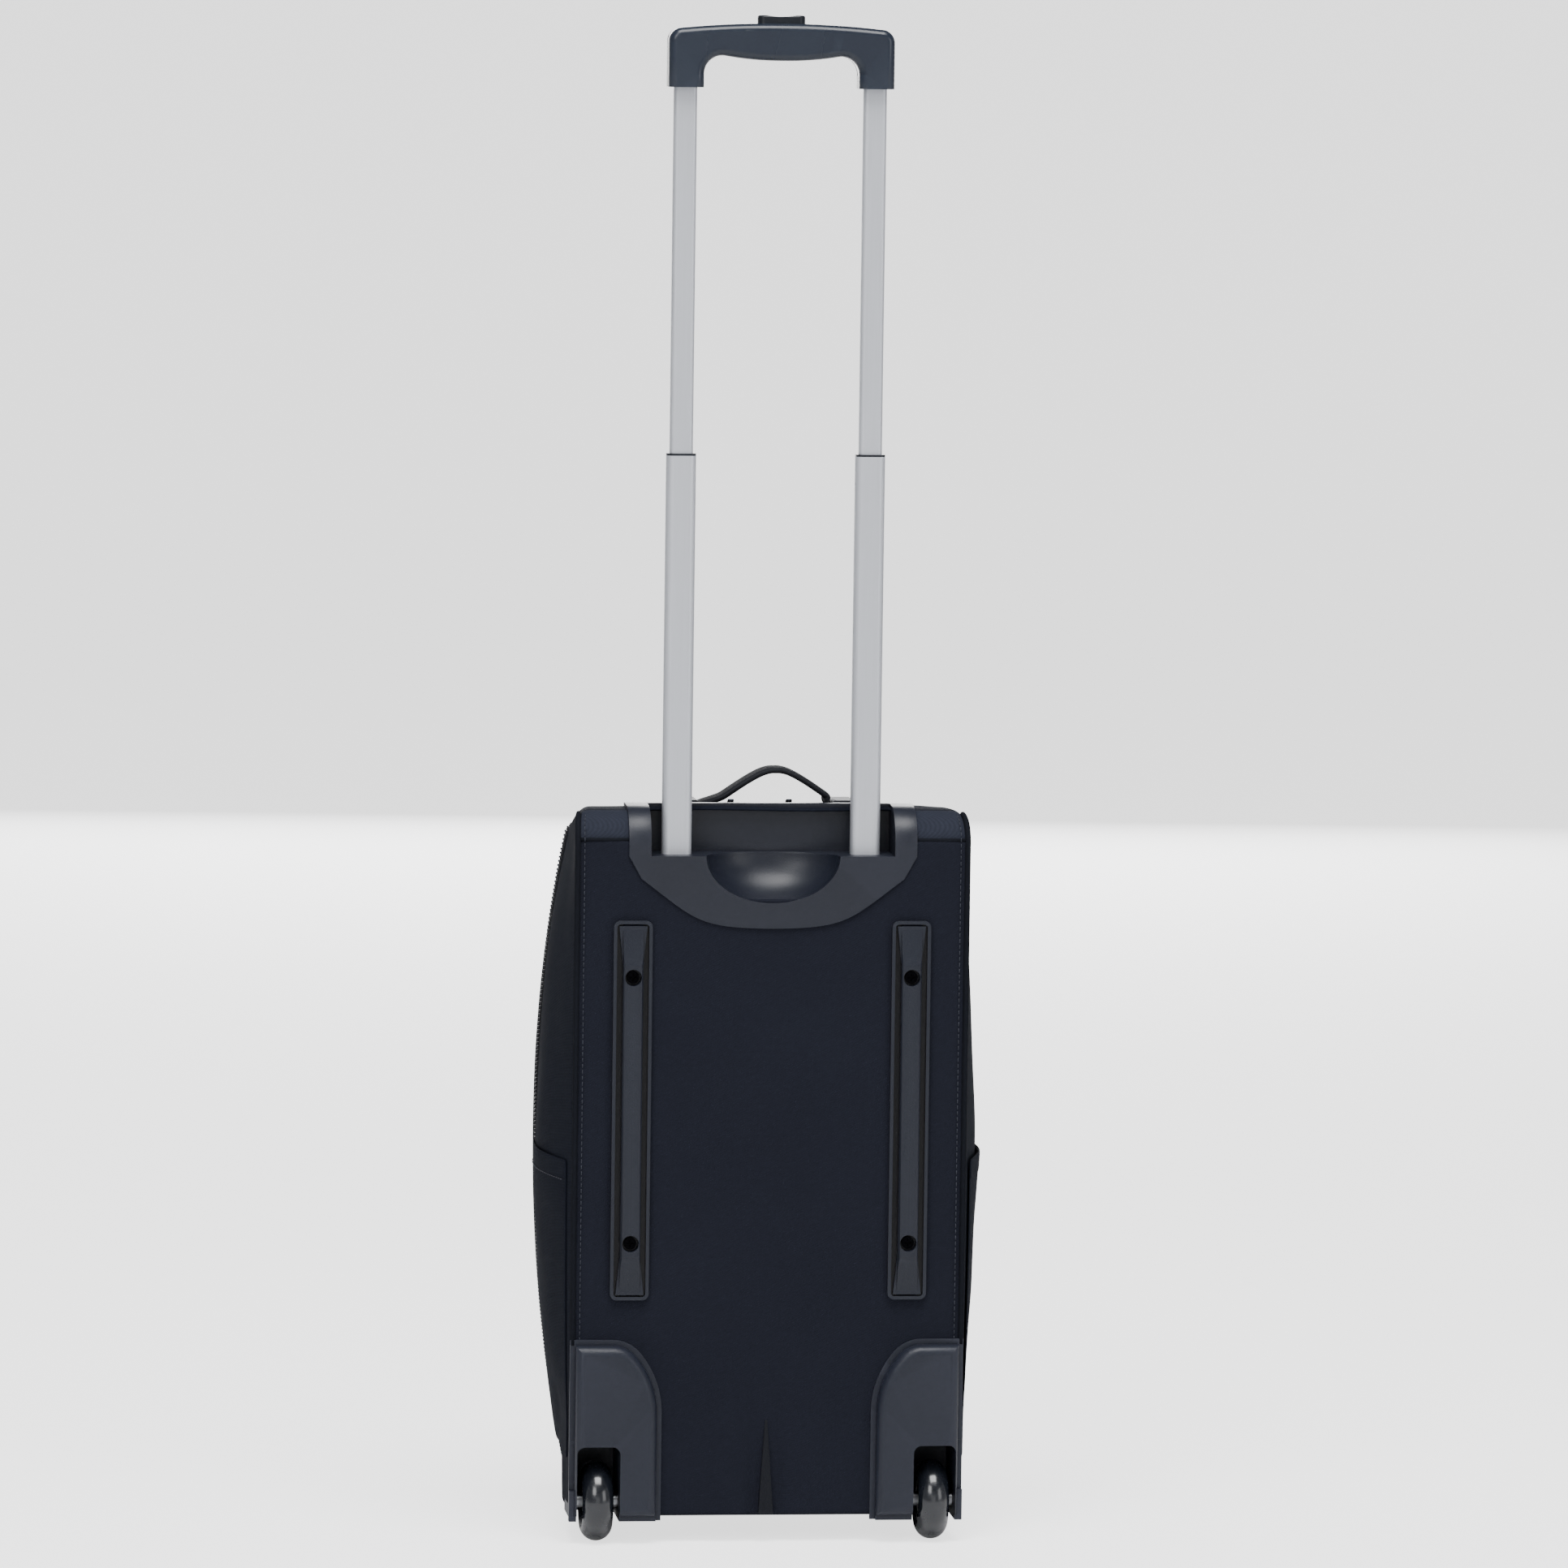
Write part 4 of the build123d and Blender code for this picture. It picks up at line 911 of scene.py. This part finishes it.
cords = [tube(path(90, edge_line(side, 0, 0.9 * MM)), 2.1 * MM) for side in (-1, 1)]
piece("edge_piping", joined(cords), "case", (PIPING_CLOTH,), ("back_piping",), level=0)
THREAD = moulded("sewing_thread", tone(46, 49, 58), 2500, 0.3, 0.6, wear=0.0, gloss=0.3)
seams = [stitches(path(900, edge_line(side, 5.2 * MM, 1.5 * MM)), (0, -1, 0)) for side in (-1, 1)]
piece("edge_stitches", joined(seams), "case", (THREAD,), level=0)

# %% Seam between the back panel and the rolled band
top_seams = []
for side in (-1, 1):
    line = [(side * x * MM, BACK + 0.1 * MM, BACK_TOP) for x in (104, 116, 130, 144)]
    top_seams.append(tube(line, 1.4 * MM))
piece("top_seam", joined(top_seams), "case", (PIPING_CLOTH,), level=0)

# %% [markdown]
# ## The lid
#
# The lid is a second block. Its depth at each height comes from the case's side profile: thin
# at the top, full at the belly. The front edge is bevelled before the planes cut the block,
# so that it stays round all the way.

# %% The front's depth at each height
BELLY_DEPTH = 203 * MM
BELLY_HEIGHT = 0.17


def front_depth(z):
    """How deep the suitcase is at one height, to the front of the lid."""
    depth = BELLY_DEPTH
    if z > BELLY_HEIGHT:
        depth -= 54 * MM * ((z - BELLY_HEIGHT) / 0.326) ** 2.2
    else:
        depth -= 6 * MM * ((BELLY_HEIGHT - z) / 0.108) ** 2
    depth -= 14 * MM * (max(z - 0.496, 0) / 0.033) ** 2
    return depth - 6.5 * MM * (max(0.062 - z, 0) / 0.028) ** 2


LID_THICK = 45 * MM
LID_GAP = 0.6 * MM
LID_CORNER = 26 * MM


def lid_point(co):
    """Where one point of the plain block goes on the lid; its depth is counted from the seam."""
    forward = co.y / LID_THICK
    seam = seam_depth(co.z)
    height = (co.z - CASE_FLOOR) / CASE_HEIGHT
    low, high = floor(seam), roof(seam)
    z = low + height * (high - low)
    full = max(front_depth(z) - seam, 5 * MM)
    x = co.x / BACK_HALF * half_width(seam, z) * (1 - 0.035 * forward**2)
    middle = 1 - (co.x / BACK_HALF) ** 2
    pillow = 3.0 * MM * middle * forward * math.sin(min(max(height, 0), 1) * math.pi)
    puff = crumple((x, 3, z), 2.2 * MM, 0.085, 6.6) * forward * smooth(middle, 0, 0.4)
    return Vector((x, BACK + seam + LID_GAP + forward * full + pillow + puff, z))


def lid_skin():
    """The lid's block with a rounded front edge, open towards the case."""
    low, high = (-BACK_HALF, 0, CASE_FLOOR), (BACK_HALF, LID_THICK, CASE_TOP)
    made = block(low, high, LID_CORNER, (), segments=8)
    round_front(made, 15 * MM, 5)
    margin = 28 * MM
    cut(made, 0, steps(-BACK_HALF + margin, BACK_HALF - margin, 16))
    cut(made, 1, (8 * MM, 18 * MM, 28 * MM))
    cut(made, 2, steps(CASE_FLOOR + margin, CASE_TOP - margin, 30))
    drop_faces(made, lambda c: c.y < HAIR)
    for v in made.verts:
        v.co = lid_point(v.co)
    bmesh.ops.recalc_face_normals(made, faces=made.faces)
    return outwards(made, CASE_MIDDLE)


lid = piece("lid_skin", lid_skin(), "lid", (SHELL_CLOTH, LINING_CLOTH),
            ("lid_panel", "lid_gusset"), wall=SKIN)

# %% [markdown]
# ## Zips
#
# A zip is two tapes with a row of teeth between them. The tapes are closed ribbons round the
# case, a little outside the cloth. The teeth are hundreds of small blocks, a few faces each.


# %% The outline that the zip follows
def outline(share, corner=CASE_CORNER):
    """A point (x, z) of the block's outline, from the middle of the floor all the way round."""
    half, tall = BACK_HALF - corner, CASE_HEIGHT / 2 - corner
    centre = CASE_FLOOR + CASE_HEIGHT / 2
    bend = corner * math.pi / 2
    runs = (half, bend, 2 * tall, bend, 2 * half, bend, 2 * tall, bend, half)
    left = share * sum(runs)
    turns = ((half, -tall, -90), (half, tall, 0), (-half, tall, 90), (-half, -tall, 180))
    for i, run in enumerate(runs):
        if left <= run or i == 8:
            break
        left -= run
    if i % 2:
        x, z, angle = turns[i // 2]
        angle = math.radians(angle) + left / corner
        return x + corner * math.cos(angle), centre + z + corner * math.sin(angle)
    x, z = ((left, -tall - corner), (half + corner, -tall + left), (half - left, tall + corner),
            (-half - corner, tall - left), (-half + left, -tall - corner))[i // 2]
    return x, centre + z


NEAR_EDGE = 0.93


def seam_ring(share, from_seam, lift):
    """A place on the case's skin beside the seam, lifted off the cloth."""
    x, z = outline(share)
    centre = Vector((0, 0, CASE_FLOOR + CASE_HEIGHT / 2))
    base = case_point(Vector((x, BACK + LAST, z)))
    out = Vector((x / BACK_HALF, 0, (z - centre.z) / (CASE_HEIGHT / 2)))
    out = Vector([c if abs(c) > NEAR_EDGE else 0 for c in out]).normalized()
    return base + out * lift + Vector((0, from_seam, 0))


def zip_tape(near, far):
    """A closed ribbon round the case, between two distances from the seam."""

    def rule(along, across):
        return seam_ring(along, near + (far - near) * across, 0.8 * MM)

    return outwards(ribbon(360, 1, rule, 1.55, abs(far - near), closed=True), CASE_MIDDLE)


for body, near, far in (("case", -10 * MM, -0.5 * MM), ("lid", 0.6 * MM, 10 * MM)):
    piece(f"{body}_zip_cloth", zip_tape(near, far), body, (ZIP_TAPE,), (f"{body}_zip_tape",),
          level=0, wall=0.9 * MM)


# %% Teeth
def teeth(rule, count, shift, size=(1.5, 1.9, 1.5), skip=lambda p: False):
    """Small blocks along a rule, each half its width to one side of the seam."""
    made = bmesh.new()
    for i in range(count):
        point, ahead = Vector(rule(i / count)), Vector(rule((i + 0.3) / count))
        if skip(point):
            continue
        turn = (ahead - point).to_track_quat("X", "Y").to_matrix().to_4x4()
        turn.translation = point + Vector((0, shift, 0))
        bmesh.ops.create_cube(made, size=MM, matrix=turn @ Matrix.Diagonal((*size, 1)))
    return made


def at_hinge(point):
    """Whether a place is where the hinge cloth takes over from the zip."""
    return point.x > 0.13 and 0.07 < point.z < 0.49


TOOTH = moulded("zip_tooth", tone(30, 31, 36), 1500, 0.1, 0.3, wear=0.2, gloss=0.5)
for side, body in ((-1, "case"), (1, "lid")):
    chain = teeth(lambda share: seam_ring(share, 0, 1.5 * MM), 520, side * 1.05 * MM, skip=at_hinge)
    piece(f"{body}_zip_teeth", chain, body, (TOOTH,), level=0, smooth_faces=False)

# %% [markdown]
# On the right the lid is not zipped: a strip of cloth joins it to the case.


# %% Hinge cloth
HINGE_FOOT, HINGE_LONG, HINGE_WIDE = 70 * MM, 420 * MM, 26 * MM


def hinge_rule(along, across):
    """A strip up the right side, half of it on each side of the seam."""
    z = HINGE_FOOT + along * HINGE_LONG
    depth = seam_depth(z) + (across - 0.5) * HINGE_WIDE
    return Vector((half_width(seam_depth(z), z) + 2.4 * MM, BACK + depth, z))


hinge = shown("hinge_cloth", outwards(ribbon(60, 10, hinge_rule), CASE_MIDDLE))
hinge.data.materials.append(SHELL_CLOTH)
for face in hinge.data.polygons:
    face.use_smooth = True
middle = hinge_rule(0.5, 0.5)
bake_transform(hinge)
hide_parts("lid_hinge_strip")


# %% [markdown]
# ## Pockets
#
# A slip pocket lies on each side wall: one layer of cloth sewn along its sides and foot, open at
# its top, where a folded hem stands a little off the wall. On the front are two zipped pockets,
# padded blocks with round edges that follow the lid.

# %% Side slip pockets
SLIP_FOOT = 62 * MM
SLIP_TOP = 286 * MM
SLIP_DEPTHS = (9 * MM, 134 * MM)
HEM = 15 * MM


def slip_rule(side, lift, low=SLIP_FOOT, high=SLIP_TOP):
    """The pocket's cloth: on the wall at its sewn edges, standing off it towards its mouth."""

    def rule(along, across):
        depth = SLIP_DEPTHS[0] + (SLIP_DEPTHS[1] - SLIP_DEPTHS[0]) * along
        z = low + (high - low) * across
        free = math.sin(along * math.pi) ** 0.7
        gape = 0.9 * MM * free * smooth(z, 0.1, SLIP_TOP)
        gape += crumple((side, depth, z), 0.7 * MM * free, 0.04, 9.9)
        return Vector((side_x(side, depth, z) + side * (lift + gape), BACK + depth, z))

    return rule


for side, hand in ((-1, "left"), (1, "right")):
    cloth = outwards(ribbon(26, 40, slip_rule(side, 1.2 * MM)), CASE_MIDDLE)
    pocket = piece(f"slip_pocket_{hand}", cloth, "case", (SHELL_CLOTH,),
                   ("side_pockets",) if side < 0 else (), wall=1.1 * MM)
    hem_cloth = ribbon(26, 4, slip_rule(side, 1.5 * MM, SLIP_TOP - HEM, SLIP_TOP + 0.6 * MM), 0.13, 0.015)
    hem = piece(f"slip_hem_{hand}", outwards(hem_cloth, CASE_MIDDLE), "case", (SHELL_CLOTH,),
                wall=1.3 * MM)
    rim = [slip_rule(side, 1.8 * MM)(i / 200, 0.935) for i in range(4, 197)]
    piece(f"slip_stitches_{hand}", stitches(rim, (side, 0, 0)), "case", (THREAD,), level=0)


# %% Front pockets
def front_pocket(name, half, low, high, rise, replaced):
    """A padded block on the lid, its front edges rounded and its middle a little fuller."""
    made = block((-half, 0, low), (half, rise, high), 7 * MM, (), segments=4)
    round_front(made, 4.5 * MM, 4)
    margin = 12 * MM
    cut(made, 0, steps(-half + margin, half - margin, 14))
    cut(made, 2, steps(low + margin, high - margin, 14))
    for v in made.verts:
        on_block = v.co.copy()
        share = (on_block.z - low) / (high - low)
        middle = (1 - (on_block.x / half) ** 2) * math.sin(min(max(share, 0), 1) * math.pi)
        full = on_block.y / rise * (3.4 * MM * middle + crumple(on_block, 1.6 * MM, 0.06, 2.2) * middle)
        v.co.y = BACK + front_depth(on_block.z) + 2 * MM + on_block.y + full
    bmesh.ops.recalc_face_normals(made, faces=made.faces)
    made = piece(name, made, "lid", (SHELL_CLOTH,), replaced)
    return made


FRONT_POCKETS = ((118 * MM, 48 * MM, 292 * MM, 12 * MM), (112 * MM, 312 * MM, 462 * MM, 8 * MM))
front_pocket("lower_front_pocket", *FRONT_POCKETS[0], ("lower_pocket",))
front_pocket("upper_front_pocket", *FRONT_POCKETS[1], ("upper_pocket",))


# %% Pocket zips, along the top edge of each
def pocket_line(half, top, rise, lift):
    """The line of a pocket's zip, just under its top edge."""

    def rule(share):
        x = (share - 0.5) * 2 * (half - 8 * MM)
        return Vector((x, BACK + front_depth(top) + rise + lift, top - 3.5 * MM))

    return rule


tapes, chains = [], []
for half, low, top, rise in FRONT_POCKETS:
    line = pocket_line(half, top, rise, 2.2 * MM)
    slope = (front_depth(top + 3 * MM) - front_depth(top - 7 * MM)) / (10 * MM)

    def tape_rule(along, across, line=line, slope=slope):
        up = (across - 0.5) * 10 * MM
        return line(along) + Vector((0, slope * up + 0.2 * MM, up))

    def tooth_rule(share, line=line):
        return line(share) + Vector((0, 1.3 * MM, 0))

    tapes.append(outwards(ribbon(40, 2, tape_rule, 0.22, 0.01), CASE_MIDDLE))
    chains.append(teeth(tooth_rule, 90, 0, (1.3, 2.0, 2.6)))
piece("pocket_zip_cloth", joined(tapes), "lid", (ZIP_TAPE,), ("pocket_zips",), 0, 0.8 * MM)
piece("pocket_zip_teeth", joined(chains), "lid", (TOOTH,), level=0, smooth_faces=False)


# %% Piping round the lid's front edge
def lid_ring(share):
    """A closed line round the lid, a little behind its rounded front edge."""
    x, z = outline(share, LID_CORNER)
    edge = lid_point(Vector((x, LID_THICK * 0.62, z)))
    return edge + Vector((math.copysign(0.6 * MM, x) if abs(x) > 0.12 else 0, 0, 0))


ring = [lid_ring(i / 240) for i in range(241)]
piece("lid_piping", tube(ring, 1.8 * MM), "lid", (PIPING_CLOTH,), level=0)

# %% [markdown]
# ## Carry handle
#
# The carry handle is a padded webbing strap. Both ends lie flat on the roof under moulded plates;
# between them it stands up in a soft arch. Its section is a flat strip with a thickness.

# %% Webbing strap
STRAP_DEPTH = 70 * MM
STRAP_WIDE = 26 * MM
STRAP_THICK = 4.4 * MM
STRAP_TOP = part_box("carry_handle")[1].z + 4 * MM
STRAP_LEAN = 8 * MM
STRAP_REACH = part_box("carry_handle")[1].x - 3 * MM
STRAP_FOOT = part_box("handle_plates")[1].x - 18 * MM
STRAP_ROUND = 0.06


def strap_rule(along, across):
    """An arch with nearly straight sides and a round top, leaning a little to one side."""
    x = (along - 0.5) * 2 * STRAP_REACH
    share = min(abs(x) / STRAP_FOOT, 1)
    foot, crown = math.sqrt(1 + STRAP_ROUND), math.sqrt(STRAP_ROUND)
    arch = (foot - math.sqrt(share**2 + STRAP_ROUND)) / (foot - crown)
    lifted = arch * (1 + 0.2 * share * (1 - share))
    rest = roof(STRAP_DEPTH) + STRAP_THICK
    z = rest + (STRAP_TOP - rest) * lifted
    curl = (across - 0.5) ** 2 * 4 * -0.8 * MM
    x += STRAP_LEAN * smooth(lifted, 0, 0.25)
    return Vector((x, BACK + STRAP_DEPTH + (across - 0.5) * STRAP_WIDE, z + curl))


strap = ribbon(56, 6, strap_rule, 0.16, STRAP_WIDE)
for f in strap.faces:
    if f.normal.z < 0:
        f.normal_flip()
piece("carry_strap", strap, "case", (WEBBING,), ("carry_handle",), wall=STRAP_THICK)

# %% [markdown]
# ## Inside
#
# When the lid opens, a lining hides the channels of the handle. It is a sheet of thin cloth,
# stretched across the back and sewn at its edges.

# %% Lining sheet
LINING_LOW, LINING_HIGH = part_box("lining_panel")
NOTCH_HALF = WELL_HALF[0] - 4 * MM
NOTCH_TOP = WELL_TOP + 4 * MM


def lining_rule(along, across):
    """The lining's cloth, flat at its sewn edges and a little loose between them."""
    x = LINING_LOW.x + (LINING_HIGH.x - LINING_LOW.x) * along
    z = LINING_LOW.z + (LINING_HIGH.z - LINING_LOW.z) * across
    free = math.sin(along * math.pi) * math.sin(across * math.pi)
    loose = crumple((x, 4, z), 1.4 * MM, 0.05, 4.4) * free + 0.8 * MM * free
    return Vector((x, LINING_LOW.y + 1 * MM + loose, z))


inner = ribbon(50, 80, lining_rule)
drop_faces(inner, lambda c: abs(c.x) > NOTCH_HALF and c.z < NOTCH_TOP)
lining = piece("lining_cloth", outwards(inner, (0, -1, 0.3)), "case", (LINING_CLOTH,),
               ("lining_panel",), wall=0.8 * MM)

# %% [markdown]
# ## Last checks
#
# The visual model's box is set against the frame's box and the difference printed; cloth stands a little
# proud of it. The visual model has to stay in the frame's box, apart from the little that cloth stands
# proud.

# %% Size and finish
size = {"cad": [list(c) for c in cad_bounds], "visual": [list(c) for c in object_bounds()]}
past = [[round((v - c) / MM, 1) for v, c in zip(*ends)] for ends in zip(size["visual"], size["cad"])]
print("visual minus cad, mm:", past)
